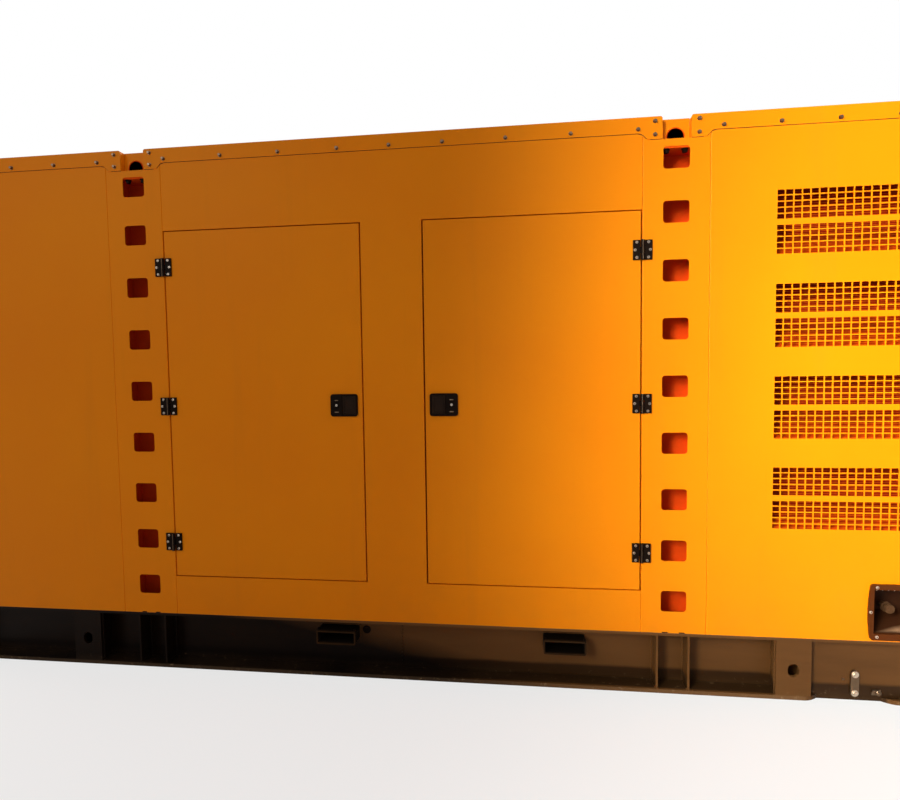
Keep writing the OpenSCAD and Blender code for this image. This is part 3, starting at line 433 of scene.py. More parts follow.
MM = 0.001
LEFT, RIGHT, FRONT, REAR = (-1, 0, 0), (1, 0, 0), (0, -1, 0), (0, 1, 0)
DOWN, UP = (0, 0, -1), (0, 0, 1)
FACE = low("mid_frame_front").y
ROOF_FACE = low("mid_roof").y
TOP = high("mid_roof").z
BASE = low("mid_frame_front").z
MID = (low("mid_frame_front").x, high("mid_frame_front").x)
POSTS = [middle(f"post_cover_{end}_front").x for end in ("left", "right")]
SIDES = {"front": 1, "rear": -1}
OUT = {"front": FRONT, "rear": REAR}
DOORS = {f"door_{end}_{side}": side for side in SIDES for end in ("left", "right")}
print("face at", round(FACE, 4), "top at", round(TOP, 4), "posts at", [round(p, 4) for p in POSTS])


# %% Places on a door, in a row and on a circle
def on_door(name, along, z, out=0.0):
    """A point `along` metres from the hinge line and `out` metres in front of the face."""
    edge, inward = (MID[0], 1) if "left" in name else (MID[1], -1)
    return (edge + inward * along, SIDES[DOORS[name]] * (FACE - out), z)


def between(start, stop, count):
    """A number of even places from start to stop."""
    return [start + (stop - start) * k / (count - 1) for k in range(count)]


def evenly(start, stop, step):
    """Places from start to stop, about `step` apart."""
    return between(start, stop, max(1, round((stop - start) / step)) + 1)


def each(places, *steps):
    """Every place moved by every step."""
    return [place + step for place in places for step in steps]


def grid(xs, ys, zs):
    """Every point that three lists of places give."""
    return [(x, y, z) for x in xs for y in ys for z in zs]


def around(count, offset=0.0):
    """Cosine and sine of even steps round a circle."""
    angles = [math.tau * (k + offset) / count for k in range(count)]
    return [(math.cos(angle), math.sin(angle)) for angle in angles]


LATCH_Z = middle("door_left_front_paddle").z
LATCH_ALONG, LOCK_ALONG = 0.783, 0.751
print("a lock lies at", [round(v, 3) for v in on_door("door_left_front", LOCK_ALONG, LATCH_Z)])

# %% [markdown]
# ## Trees that make geometry
# Each repeated fitting is one Geometry Nodes tree. `Tree` opens one with named inputs and
# closes it with Realize Instances and Set Material, because only real geometry with a real
# material leaves Blender.

# %% Tree
class Tree(Graph):
    """A Geometry Nodes tree that takes a shape, numbers or vectors, and a finish."""

    KINDS = {float: "NodeSocketFloat", int: "NodeSocketInt", tuple: "NodeSocketVector"}

    def __init__(self, name, shape, **numbers):
        super().__init__(bpy.data.node_groups.new(name, "GeometryNodeTree"))
        self.socket(shape, "NodeSocketGeometry")
        for label, default in numbers.items():
            number = self.socket(label.replace("_", " "), self.KINDS[type(default)])
            number.default_value = default
        self.socket("Finish", "NodeSocketMaterial")
        self.socket("Shape", "NodeSocketGeometry", "OUTPUT")
        start = self.add("NodeGroupInput").socket.node
        self.given = {socket.name: Num(self.tree, socket) for socket in start.outputs}

    def socket(self, label, kind, way="INPUT"):
        return self.tree.interface.new_socket(label, in_out=way, socket_type=kind)

    def lifted(self, shape, height):
        lift = self.add("ShaderNodeCombineXYZ", {"Z": height})
        return self.add("GeometryNodeTransform", {"Geometry": shape, "Translation": lift})

    def joined(self, *shapes):
        join = self.add("GeometryNodeJoinGeometry")
        for shape in shapes:
            plug(self.tree, join.socket.node.inputs[0], shape)
        return join

    def on_points(self, shape, **more):
        """Sets the shape on every given point, and closes the tree."""
        points = self.add("GeometryNodeMeshToPoints", {"Mesh": self.given["Points"]})
        return self.close(self.add("GeometryNodeInstanceOnPoints", {
            "Points": points, "Instance": shape, **more}))

    def close(self, shape):
        """Makes the shape real, gives it the finish and leads it out."""
        real = self.add("GeometryNodeRealizeInstances", {"Geometry": shape})
        painted = self.add("GeometryNodeSetMaterial", {
            "Geometry": real, "Material": self.given["Finish"]})
        self.add("NodeGroupOutput", {"Shape": painted})
        return self.tree


print("a tree takes:", [kind.__name__ for kind in Tree.KINDS])

# %% Keep the plain result of a tree
def keep(piece, finish, body):
    """Links a finished piece, gives it its body, and turns its faces outwards."""
    bpy.context.scene.collection.objects.link(piece)
    shape = bmesh.new()
    shape.from_mesh(piece.data)
    bmesh.ops.recalc_face_normals(shape, faces=shape.faces)
    shape.to_mesh(piece.data)
    shape.free()
    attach(piece, body)


def grown(name, tree, points, finish, body=ROOT, edges=(), **values):
    """Runs a tree on points, or on paths of points, and keeps the mesh that it makes."""
    mesh = bpy.data.meshes.new(name + "_points")
    mesh.from_pydata(points, edges, [])
    carrier = bpy.data.objects.new(name + "_points", mesh)
    bpy.context.scene.collection.objects.link(carrier)
    modifier = carrier.modifiers.new("grow", "NODES")
    modifier.node_group = tree
    values["Finish"] = FINISHES[finish]
    for item in tree.interface.items_tree:
        label = item.name.replace(" ", "_")
        if item.in_out == "INPUT" and label in values:
            modifier[item.identifier] = values[label]
    evaluated = carrier.evaluated_get(bpy.context.evaluated_depsgraph_get())
    piece = bpy.data.objects.new(name, bpy.data.meshes.new_from_object(evaluated))
    bpy.data.objects.remove(carrier)
    keep(piece, finish, body)


print("pieces are made by", grown.__name__, "and kept by", keep.__name__)

# %% [markdown]
# ## Screws by the hundred
# Several hundred screws hold roofs, hinges, walls and machine. The tree sets one on each
# point: a flat washer and a head that narrows to its top, with six sides for a hexagon and
# eight or more for a round one. A row of screws is then a list of points.

# %% The screw tree
t = Tree("screws", "Points", Head_radius=0.007, Head_height=0.005, Crown=0.84,
         Washer_radius=0.009, Washer_height=0.0015, Sides=6, Direction=UP)
thick, radius = t.given["Washer height"], t.given["Head radius"]
washer = t.add("GeometryNodeMeshCylinder", {
    "Vertices": 14, "Radius": t.given["Washer radius"], "Depth": thick})
head = t.add("GeometryNodeMeshCone", {
    "Vertices": t.given["Sides"], "Radius Top": radius * t.given["Crown"],
    "Radius Bottom": radius, "Depth": t.given["Head height"]})
turned = t.add("FunctionNodeAlignRotationToVector", {"Vector": t.given["Direction"]}, axis="Z")
SCREWS = t.on_points(t.joined(t.lifted(washer, thick * 0.5), t.lifted(head, thick)),
                     Rotation=turned)


def screws(name, places, direction, finish, radius, height, washer=1.2, sides=6, flare=1.2,
           crown=0.84, body=ROOT):
    """Places screws; the washer is `flare` times as wide as the head, the top `crown` times."""
    grown(name, SCREWS, places, finish, body, Direction=direction, Head_radius=radius * MM,
          Head_height=height * MM, Washer_radius=radius * flare * MM, Washer_height=washer * MM,
          Sides=sides, Crown=crown)


print("screw tree nodes:", len(SCREWS.nodes))

# %% [markdown]
# ## Beads, pipes and cables
# A weld, a pipe, a cable and a wire ring are all a round section drawn along a path. The tree
# rounds the path's corners, cuts it to even steps, sweeps a circle along it and, for a weld,
# lets the radius ripple from step to step.

# %% The bead tree
t = Tree("beads", "Path", Radius=0.003, Ripple=0.0, Bend=0.0, Step=0.006, Sides=6)
line = t.add("GeometryNodeMeshToCurve", {"Mesh": t.given["Path"]})
rounded = t.add("GeometryNodeFilletCurve", {
    "Curve": line, "Radius": t.given["Bend"], "Count": 6, "Limit Radius": True}, mode="POLY")
even = t.add("GeometryNodeResampleCurve", {
    "Curve": rounded, "Length": t.given["Step"]}, mode="LENGTH")
wave = (t.add("GeometryNodeInputIndex") * 2.1).sine()
bulged = t.add("GeometryNodeSetCurveRadius", {
    "Curve": even, "Radius": wave * t.given["Ripple"] + 1.0})
ring = t.add("GeometryNodeCurvePrimitiveCircle", {
    "Resolution": t.given["Sides"], "Radius": t.given["Radius"]})
BEADS = t.close(t.add("GeometryNodeCurveToMesh", {
    "Curve": bulged, "Profile Curve": ring, "Scale": t.add("GeometryNodeInputRadius"),
    "Fill Caps": True}))


def drawn(name, paths, radius, finish, step=6.0, bend=0.0, sides=6, ripple=0.0, closed=False,
          body=ROOT):
    """Draws every path, a list of points, as a round section of the given radius."""
    points, edges = [], []
    for path in paths:
        start = len(points)
        points += path
        edges += [(k, k + 1) for k in range(start, len(points) - 1)]
        if closed:
            edges.append((len(points) - 1, start))
    grown(name, BEADS, points, finish, body, edges, Radius=radius * MM, Ripple=ripple,
          Bend=bend * MM, Step=step * MM, Sides=sides)


print("bead tree nodes:", len(BEADS.nodes))

# %% [markdown]
# ## Slats, fins and bars
# Ribs and fins are one small block on each point. The tree takes the block's three sizes, so
# the same tree serves a battery's ribs and an alternator's vents.

# %% The slat tree
t = Tree("slats", "Points", Size=(0.01, 0.01, 0.01))
SLATS = t.on_points(t.add("GeometryNodeMeshCube", {"Size": t.given["Size"]}))


def slats(name, places, finish, *sizes):
    """Sets a block of three sizes on each place."""
    grown(name, SLATS, places, finish, Size=tuple(size * MM for size in sizes))


print("slat tree nodes:", len(SLATS.nodes))

# %% [markdown]
# ## Turned and folded parts
# Caps, flanges and knobs are turned: a profile of radii and heights goes round an axis.
# Covers and brackets are blocks with softened edges. Both are written straight into a mesh.

# %% Turned profiles and soft-edged blocks
class Part:
    """A piece drawn step by step into an empty mesh, with sizes in millimetres."""

    def __init__(self):
        self.shape = bmesh.new()

    def turn(self, base, direction, profile, sides=24):
        """Turns (radius, height) pairs round a direction; a radius of 0 closes to a point."""
        tilt = Vector(UP).rotation_difference(Vector(direction)).to_matrix()
        rings = []
        for radius, height in profile:
            ring = [Vector((radius * c, radius * s, height)) * MM for c, s in around(sides)]
            rings.append([self.shape.verts.new(Vector(base) + tilt @ spot)
                          for spot in (ring if radius else ring[:1])])
        for lower, upper in zip(rings, rings[1:]):
            for k in range(sides):
                corners = (lower[k % len(lower)], lower[(k + 1) % len(lower)],
                           upper[(k + 1) % len(upper)], upper[k % len(upper)])
                self.shape.faces.new(list(dict.fromkeys(corners)))
        for ring in (rings[0], rings[-1]):
            if len(ring) > 1:
                self.shape.faces.new(ring)
        return self

    def block(self, first, second, soft=2.0, segments=2):
        """A block between two opposite corners, with edges rounded to `soft`."""
        a, b = Vector(map(min, first, second)), Vector(map(max, first, second))
        place = Matrix.Translation((a + b) / 2) @ Matrix.Diagonal((*(b - a), 1.0))
        cube = bmesh.ops.create_cube(self.shape, size=1.0, matrix=place)["verts"]
        edges = list({edge for vert in cube for edge in vert.link_edges})
        bmesh.ops.bevel(self.shape, geom=edges, offset=soft * MM, segments=segments,
                        profile=0.5, affect="EDGES")
        return self

    def slab(self, spot, sizes, soft=2.0, segments=2):
        """A block centred on the spot in X and Z, which starts there in Y."""
        x, y, z = spot
        wide, deep, tall = (size * MM for size in sizes)
        return self.block((x - wide / 2, y, z - tall / 2),
                          (x + wide / 2, y + deep, z + tall / 2), soft, segments)

    def done(self, name, finish, body=ROOT):
        """Makes the drawing a piece."""
        mesh = bpy.data.meshes.new(name)
        self.shape.to_mesh(mesh)
        self.shape.free()
        mesh.materials.append(FINISHES[finish])
        mesh.shade_smooth()
        mesh.set_sharp_from_angle(angle=math.radians(35))
        keep(bpy.data.objects.new(name, mesh), finish, body)


print("helpers ready")

# %% [markdown]
# ## Roof screws
# Each roof is a lid whose turned-down edge is screwed to the walls with hexagon screws, a
# fifth to a quarter of a metre apart and two above each other at the posts. The row is written
# as distances from the middle of the middle roof and from the inner ends of the side walls.

# %% Roof screws along both long sides
centre = sum(MID) / 2
row = [centre] + [centre + s * d for d in (0.217, 0.468, 0.720, 0.974) for s in (1, -1)]
row += [high("left_wall_front").x - 0.036 - 0.2035 * k for k in range(4)]
row += [low("right_wall_front").x + 0.044 + 0.2045 * k for k in range(6)]
roof_row = [(x, TOP - 0.045) for x in row]
roof_row += [(x, TOP - drop) for x in each(POSTS, -0.081, 0.081) for drop in (0.017, 0.067)]
for side, sign in SIDES.items():
    screws(f"roof_screws_{side}", [(x, sign * ROOF_FACE, z) for x, z in roof_row], OUT[side],
           STEEL, 6.6, 8.5)
print("roof screws:", 2 * len(roof_row))

# %% [markdown]
# ## Painted shadow under the roof edges
# A thin dark bead under each roof's turned-down edge, along the joint with the walls, is a
# painted shadow. It follows the edge, which steps down over a post by a short slope.

# %% Beads along the roof edges
EDGE, STEP_EDGE, STEP_FLAT = 0.060, 0.084, 0.055


def roof_end(x, way, stepped):
    """The edge from one end of a roof inwards, as x and the distance below the top."""
    slope = way * (STEP_FLAT + STEP_EDGE - EDGE)
    step = [(x, STEP_EDGE), (x + way * STEP_FLAT, STEP_EDGE), (x + slope, EDGE)]
    return step if stepped else [(x, EDGE)]


roof_edges = [roof_end(low(roof).x, 1, roof != "left_roof")
              + roof_end(high(roof).x, -1, roof != "right_roof")[::-1]
              for roof in ("left_roof", "mid_roof", "right_roof")]
for side, sign in SIDES.items():
    # Dark beads under the roof edges: painted shadow.
    beads = [[(x, sign * (FACE + 0.0002), TOP - down - 0.0004) for x, down in edge]
             for edge in roof_edges]
    drawn(f"roof_sealant_{side}", beads, 1.3, "seal_rubber", 20, 8)
print("sealant beads:", len(SIDES) * len(roof_edges))

# %% [markdown]
# ## Hinge screws
# Three button screws hold each leaf, the middle one farther from the pin than the others. A
# small dark hexagon on each crown stands for its socket, a painted shade. Along its crest each
# knuckle carries a thin bright steel line, a painted highlight. What belongs to a moving leaf
# rides on its door, the rest on the canopy.

# %% Hinge screws with their sockets
HINGE_H, LEAF, PROUD = 0.076, 0.006, 0.0147
BUTTON, SOCKET = (14, 1.06, 0.66), (0.4, 0.2, 6, 1.0)
KNUCKLE, END = HINGE_H / 6 - 0.002, HINGE_H / 2 - 0.001
MOVING, FIXED = [(-KNUCKLE, KNUCKLE)], [(-END, -KNUCKLE - 0.002), (KNUCKLE + 0.002, END)]
hinge_heights = [low("frame_hinges").z + HINGE_H / 2, middle("frame_hinges").z,
                 high("frame_hinges").z - HINGE_H / 2]
for name, side in DOORS.items():
    for owner, sign, leaf, spans in ((name, 1, "hinge", MOVING), (ROOT, -1, "hinge_frame", FIXED)):
        spots = [on_door(name, sign * (0.022 if k else 0.0285), z + 0.029 * k, LEAF)
                 for z in hinge_heights for k in (-1, 0, 1)]
        screws(f"{name}_{leaf}_screws", spots, OUT[side], ZINC, 5, 2.6, 0.5, *BUTTON,
               body=owner)
        # Dark hexagons on the crowns stand for the sockets: painted shade.
        crowns = [(x, y - SIDES[side] * 0.0029, z) for x, y, z in spots]
        screws(f"{name}_{leaf}_screws_sockets", crowns, OUT[side], BLACK, 2.1, *SOCKET,
               body=owner)
        # Thin bright steel lines on the knuckles: painted highlight.
        painted_highlights = [[on_door(name, 0.0, z + end, PROUD) for end in span]
                for z in hinge_heights for span in spans]
        drawn(f"{name}_{leaf}_rubs", painted_highlights, 1.1, STEEL, 10, body=owner)
print("hinge screws:", 18 * len(DOORS))

# %% [markdown]
# ## Latches
# A latch is a moulded plate with a folding paddle and a lock beside it, which the frame has.
# Added are a dark rim round the lock, its bright plug with a dark slab for the key slot, a
# painted shade, a spring clip above and below it, and a stiffening rib round the paddle. Two
# square corners of the opening in the sheet would peep out past the plate's round ones, so a
# little painted sheet closes them.

# %% Locks, clips and paddle ribs
for name, side in DOORS.items():
    out = -SIDES[side]
    corners = Part()
    for s in (-1, 1):
        for along, near, far in ((0.050, 0.0421, 0.0442), (0.0561, 0.034, 0.0421)):
            corners.block(on_door(name, LATCH_ALONG + along, LATCH_Z + s * near, -0.003),
                          on_door(name, LATCH_ALONG + 0.0582, LATCH_Z + s * far, -0.0001), 0.1, 1)
    corners.done(name + "_opening_corners", "canopy_paint", name)
    rim = Part().turn(on_door(name, LOCK_ALONG, LATCH_Z, 0.0061), OUT[side], [
        (9.4, 0), (9.4, 1.6), (8.2, 2.6), (7.2, 2.6), (7.2, 0)])
    rim.done(name + "_lock_rim", BLACK, name)
    core = Part().turn(on_door(name, LOCK_ALONG, LATCH_Z, 0.0085), OUT[side], [
        (0, 0), (4.9, 0), (4.7, 0.7), (0, 0.9)])
    core.done(name + "_lock_plug", ZINC, name)
    # The dark slab on the plug stands for the key slot: painted shade.
    slot = Part().slab(on_door(name, LOCK_ALONG, LATCH_Z, 0.0093), (6.8, out * 0.5, 1.8), 0.1, 1)
    slot.done(name + "_key_slot", BLACK, name)
    clips = Part()
    for up, wide in ((0.0205, 15), (-0.0285, 17)):
        clips.slab(on_door(name, LOCK_ALONG, LATCH_Z + up, 0.006), (wide, out * 1.6, 3.6), 0.6)
    clips.done(name + "_latch_clips", STEEL, name)
    a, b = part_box(name + "_paddle")
    wide, tall = (b.x - a.x - 0.018) / MM, (b.z - a.z - 0.014) / MM
    x, y, z = (a + b) / 2
    y = a.y if side == "front" else b.y
    ribs = Part()
    for up in (a.z + 0.007, b.z - 0.007):
        ribs.slab((x, y, up), (wide, out * 1.2, 2.4), 0.5)
    for across in (a.x + 0.009, b.x - 0.009):
        ribs.slab((across, y, z), (2.4, out * 1.2, tall), 0.5)
    ribs.done(name + "_paddle_rib", "paddle_moulding", name + "_paddle")
print("latches:", len(DOORS))

# %% [markdown]
# ## Posts and lifting plates
# Under the cap of each post hang the nuts that hold its lifting plate. They show in the upper
# corners of the top hole. The plate's eye is rolled over a little at its edge, so that a
# shackle turns without cutting in, and it wears the paint of the posts.

# %% Nuts under the caps and rolled rims of the lifting eyes
cap_z, eye_z = low("lifting_plates").z - 0.010, BASE + 1.943
for side, sign in SIDES.items():
    nuts = grid(each(POSTS, -0.034, 0.034), [sign * (FACE + 0.019)], [cap_z])
    screws(f"post_nuts_{side}", nuts, DOWN, BLACK, 10.5, 11.5, 2.5, 6, 1.25, 0.95)
    rims = Part()
    for post in POSTS:
        for y, out in ((FACE + 0.024, -1), (FACE + 0.044, 1)):
            rims.turn((post, sign * y, eye_z), (0, out * sign, 0), [
                (31, 0), (31.5, 0.8), (34, 0.8), (35.2, 0), (31, 0)], 40)
    rims.done(f"lifting_eye_rims_{side}", "post_paint")
print("post nuts:", 4 * len(SIDES))

# %% [markdown]
# ## Service recess
# The moulded frame is held by three screws at each side. A row of tiny rivets fixes the rain
# strip above the back panel, and the caps get a knurled rim so that a glove can grip them.

# %% Screws, rivets and knurled caps of the recess
recess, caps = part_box("service_recess"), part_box("service_caps")
spots = [(middle("service_recess").x + s * across, recess[0].y, recess[0].z + up)
         for s in (-1, 1) for across, up in ((0.182, 0.205), (0.203, 0.109), (0.180, 0.013))]
screws("recess_screws", spots, FRONT, ZINC, 5.6, 2.8, 0.6, 14, 1.08, 0.66)
# Dark discs on the crowns stand for the sockets: painted shade.
screws("recess_sockets", [(x, y - 0.0032, z) for x, y, z in spots], FRONT, BLACK,
       2.3, *SOCKET)
rivets = [(recess[0].x + 0.030 + 0.022 * k, FACE + 0.115, recess[1].z - 0.064)
          for k in range(17)]
screws("recess_rivets", rivets, FRONT, ZINC, 3, 1.4, 0.3, 8, 1.1, 0.6)
crowns = [(x, caps[0].y, middle("service_caps").z)
          for x in (caps[0].x + 0.020, caps[1].x - 0.020)]
knurls = [(x + 0.0162 * c, y + 0.010, z + 0.0162 * s) for x, y, z in crowns
          for c, s in around(20)]
slats("cap_knurls", knurls, "cap_moulding", 2.2, 16, 2.2)
screws("cap_crowns", crowns, FRONT, "cap_moulding", 8, 3, 1, 6, 1.5)
print("recess screws:", len(spots))

# %% [markdown]
# ## Earth bar and clamp
# A bar for the earth cable is bolted to the skid's end plate by two bright hexagon heads on
# round washers. Beside it sit a clamp on a lug and one small screw.

# %% Bolts of the earth bar, and the clamp beside it
bar, bar_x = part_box("earth_bar"), middle("earth_bar").x
bolts = grid([bar_x], [bar[0].y], (bar[1].z - 0.016, bar[0].z + 0.015))
screws("earth_bolts", bolts, FRONT, ZINC, 8.8, 6.5, 1.8, 6, 1.45, 0.9)
x, y, z = bar_x + 0.079, bar[1].y, bar[0].z + 0.019
clamp = Part()
clamp.slab((x, y, z), (34, -4, 22), 1.2)
clamp.turn((x + 0.006, y - 0.004, z), FRONT, [
    (10.5, 0), (10.5, 6), (9, 7.5), (5, 7.5), (5, 12), (4.2, 13)], 12)
clamp.slab((x - 0.011, y - 0.004, z + 0.0075), (14, -6, 7), 1)
clamp.done("earth_clamp", STEEL)
screws("end_plate_screw", [(bar_x - 0.0395, y, bar[0].z + 0.066)], FRONT, STEEL,
       4, 3, 0.8)
print("earth bar at", round(bar_x, 4))

# %% [markdown]
# ## Welds on the skid
# The tie plates, the stiffeners and the fork pockets are welded to the rails. A hand-laid bead
# is a row of small overlapping swellings, which the ripple of the bead tree makes. One seam
# on the web is only stitched, so it is a column of short dots. Beside it a plug closes a hole.

# %% Beads, stitches and a rubber plug
tubes, TUBE_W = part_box("fork_pockets"), 0.172
fork_xs = [tubes[0].x + TUBE_W / 2, tubes[1].x - TUBE_W / 2]
WEB = high("skid_rail_front").y - 0.012
FOOT, LIP = 0.016, BASE - 0.012
for side, sign in SIDES.items():
    web = sign * (WEB - 0.0015)
    frames = [[(x + s * TUBE_W / 2, web, tubes[up].z)
               for s, up in ((-1, 0), (1, 0), (1, 1), (-1, 1))] for x in fork_xs]
    drawn(f"fork_welds_{side}", frames, 4.5, "skid_paint", 5, 8, ripple=0.18, closed=True)
    seams = []
    for x in each(POSTS, -0.066, -0.056, 0.056, 0.066):
        seams.append([(x, web, FOOT + 0.004), (x, web, LIP - 0.004)])
        seams.append([(x, web, FOOT + 0.002), (x, sign * (FACE + 0.008), FOOT + 0.002)])
    for x in each((POSTS[0] - 0.313, POSTS[1] + 0.453), -0.0655, 0.0655):
        seams.append(grid([x], [sign * (FACE + 0.014)], (FOOT + 0.003, LIP - 0.003)))
    drawn(f"rail_welds_{side}", seams, 3.8, "skid_paint", 5, ripple=0.2)
    stitches = [[(-0.2075, web, z), (-0.2075, web, z + 0.007)]
                for z in (FOOT + 0.012 + 0.0165 * k for k in range(12))]
    drawn(f"web_stitches_{side}", stitches, 3, "skid_paint", 2, ripple=0.1)
    stops = grid(each(fork_xs, -0.080, 0.080), [sign * (FACE + 0.016)], [tubes[1].z])
    screws(f"fork_stops_{side}", stops, UP, BLACK, 6, 6, 1, 6, 1.15)
    stopper = Part().turn((-0.3665, sign * WEB, 0.175), OUT[side], [
        (18, 0), (18, 1.5), (16, 3.2), (11, 3.2), (9.5, 1.2), (0, 1.2)], 28)
    stopper.done(f"web_plug_{side}", BLACK)
print("welded fork pockets at", [round(x, 3) for x in fork_xs])

# %% [markdown]
# ## Screws round the end walls and the louvre
# End walls, louvre frame and roof ends are screwed from outside, in even rows. The count on
# each edge follows from its length and a step of about a quarter of a metre.

# %% Rows of screws on both ends
def frame_row(x, box, margin, step):
    """Points round the inside of a rectangle in Y and Z, at one x."""
    (_, y0, z0), (_, y1, z1) = box
    ys, zs = evenly(y0 + margin, y1 - margin, step), evenly(z0 + margin, z1 - margin, step)
    return ([(x, y, z) for y in ys for z in (zs[0], zs[-1])]
            + [(x, y, z) for z in zs[1:-1] for y in (ys[0], ys[-1])])


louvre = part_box("discharge_louvre")
screws("louvre_screws", frame_row(louvre[0].x, louvre, 0.012, 0.24), LEFT, ZINC,
       4.2, 2.2, 0.6, 12, 1.1, 0.7)
for end, box_end, way in (("left", 0, LEFT), ("right", 1, RIGHT)):
    wall_x, roof_x = (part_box(f"{end}_{part}")[box_end].x for part in ("end_wall", "roof"))
    places = [p for p in frame_row(wall_x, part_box("left_end_wall"), 0.022, 0.26)
              if p[2] < TOP - 0.09]
    screws(f"{end}_end_screws", places, way, STEEL, 6.8, 5.2)
    edge_row = grid([roof_x], evenly(-0.76, 0.76, 0.25), [TOP - 0.030])
    screws(f"{end}_roof_end_screws", edge_row, way, STEEL, 6.8, 5.2)
print("end wall screws:", 2 * len(places))

# %% [markdown]
# ## Pins in the acoustic foam
# Foam is held by glued pins with domed washers, in an even grid. Each door carries its own
# grid, so those pins ride on the door. The latch works are hidden by a screwed cover.

# %% Foam pins and the latch covers on the doors' inner sides
LINING, COVER = 0.039, 0.043
FOAM_PIN = (4.5, 1.8, 1.2, 8, 3.6, 0.5)
for name, side in DOORS.items():
    inward = (0, SIDES[side], 0)
    pins = [on_door(name, u, z, -LINING) for u in between(0.10, 0.70, 4)
            for z in between(0.53, 1.80, 5)]
    screws(name + "_foam_pins", pins, inward, ZINC, *FOAM_PIN, body=name)
    cover = Part().block(on_door(name, 0.757, LATCH_Z - 0.062, -LINING),
                         on_door(name, 0.829, LATCH_Z + 0.062, -COVER), 1.2)
    cover.done(name + "_latch_cover", BLACK, name)
    corners = [on_door(name, u, LATCH_Z + s * 0.052, -COVER) for u in (0.765, 0.821)
               for s in (-1, 1)]
    screws(name + "_cover_screws", corners, inward, ZINC, 4, 2.2, 0.6, 12, body=name)
roof_pins = grid(between(-1.05, 0.62, 6), between(-0.66, 0.66, 5), [TOP - LINING])
screws("roof_foam_pins", roof_pins, DOWN, ZINC, *FOAM_PIN)
print("foam pins:", 20 * len(DOORS) + len(roof_pins))

# %% [markdown]
# ## Engine dressing
# The frame holds the castings: block, six heads, sump, manifolds and turbocharger. A real
# engine is busy with what is bolted on: cover ribs and bolts, inspection covers and a coolant
# rail at the rear, fuel pipes from a common rail, a wiring loom, a starter, a charging
# alternator with its belt, and a dipstick.

# %% Bolts and cover ribs
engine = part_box("engine")
SHAFT_Z, BLOCK_X, BLOCK_Y = 0.720, engine[0].x + 0.060, 0.310
BLOCK_TOP, HEAD_TOP, HEAD_PITCH = SHAFT_Z + 0.380, SHAFT_Z + 0.499, 1.160 / 6
head_xs = [BLOCK_X + 0.060 + k * HEAD_PITCH for k in range(6)]
head_w = HEAD_PITCH - 0.024
cover_bolts = grid(each(head_xs, 0.018, head_w - 0.018), (-0.132, 0.132), [HEAD_TOP])
screws("head_cover_bolts", cover_bolts, UP, STEEL, 8.5, 8, 2)
ribs = grid(each(head_xs, head_w / 2), (-0.08, -0.04, 0.04, 0.08), [HEAD_TOP + 0.003])
slats("head_cover_ribs", ribs, "engine_paint", head_w / MM - 50, 8, 8)
for name, sign, way in (("block_bolts", -1, FRONT), ("block_bolts_rear", 1, REAR)):
    side_bolts = grid(each(head_xs, 0.03, head_w - 0.03), [sign * BLOCK_Y],
                      (SHAFT_Z - 0.11, BLOCK_TOP - 0.03))
    screws(name, side_bolts, way, STEEL, 8, 7, 2)
sump = grid(between(BLOCK_X + 0.09, 0.0, 11), (-0.222, 0.222), [SHAFT_Z - 0.145])
screws("sump_bolts", sump, DOWN, STEEL, 6.5, 6, 1.5)
bell = [(0.0865, 0.300 * c, SHAFT_Z + 0.300 * s) for c, s in around(14, 0.5) if s > -0.4]
screws("bell_housing_bolts", [p for p in bell if abs(p[1]) > BLOCK_Y - 0.02 or p[2] > BLOCK_TOP],
       LEFT, STEEL, 9, 9, 2)
print("engine bolts:", len(cover_bolts) + 2 * len(side_bolts) + len(sump))

# %% Inspection covers and the coolant rail at the rear
HATCH_LOW, HATCH_HIGH = SHAFT_Z - 0.040, SHAFT_Z + 0.210
covers = Part()
for x in head_xs:
    covers.block((x, BLOCK_Y - 0.001, HATCH_LOW), (x + head_w, BLOCK_Y + 0.012, HATCH_HIGH), 5)
    covers.block((x + 0.035, BLOCK_Y + 0.010, HATCH_LOW + 0.040),
                 (x + head_w - 0.035, BLOCK_Y + 0.018, HATCH_HIGH - 0.040), 6)
covers.done("inspection_covers", "engine_paint")
spots = grid(each(head_xs, 0.016, head_w - 0.016), [BLOCK_Y + 0.012],
             (HATCH_LOW + 0.018, SHAFT_Z + 0.085, HATCH_HIGH - 0.018))
screws("inspection_screws", spots, REAR, STEEL, 6.5, 6, 1.5)
first, last = BLOCK_X + 0.09, head_xs[-1] + 0.08
rail = [(x, BLOCK_Y + out, SHAFT_Z + 0.280)
        for x, out in ((first, -0.006), (first, 0.038), (last, 0.038), (last, -0.006))]
drawn("coolant_rail", [rail], 17, "engine_paint", 15, 30, 12)
print("inspection screws:", len(spots))

# %% Port flanges and filter rims
flanges = Part()
for x in each(head_xs, 0.010, HEAD_PITCH - 0.082):
    flanges.turn((x, -0.330, BLOCK_TOP - 0.110), RIGHT, [
        (40, 0), (49, 0), (50, 2), (50, 10), (49, 12), (40, 12)])
flanges.done("port_flanges", STEEL)
rims = Part()
for x in each([BLOCK_X], 0.420, 0.550, 0.680):
    for z, r in ((SHAFT_Z - 0.112, 56.5), (SHAFT_Z + 0.060, 57.5)):
        rims.turn((x, -0.368, z), UP, [(50, 0), (r, 1), (r + 1, 4), (r, 9), (50, 10)])
    rims.turn((x, -0.368, SHAFT_Z - 0.120), DOWN, [(18, 0), (18, 14), (16, 16), (0, 16)], 6)
rims.done("filter_rims", "cabinet_paint")
print("port flanges:", 2 * len(head_xs))

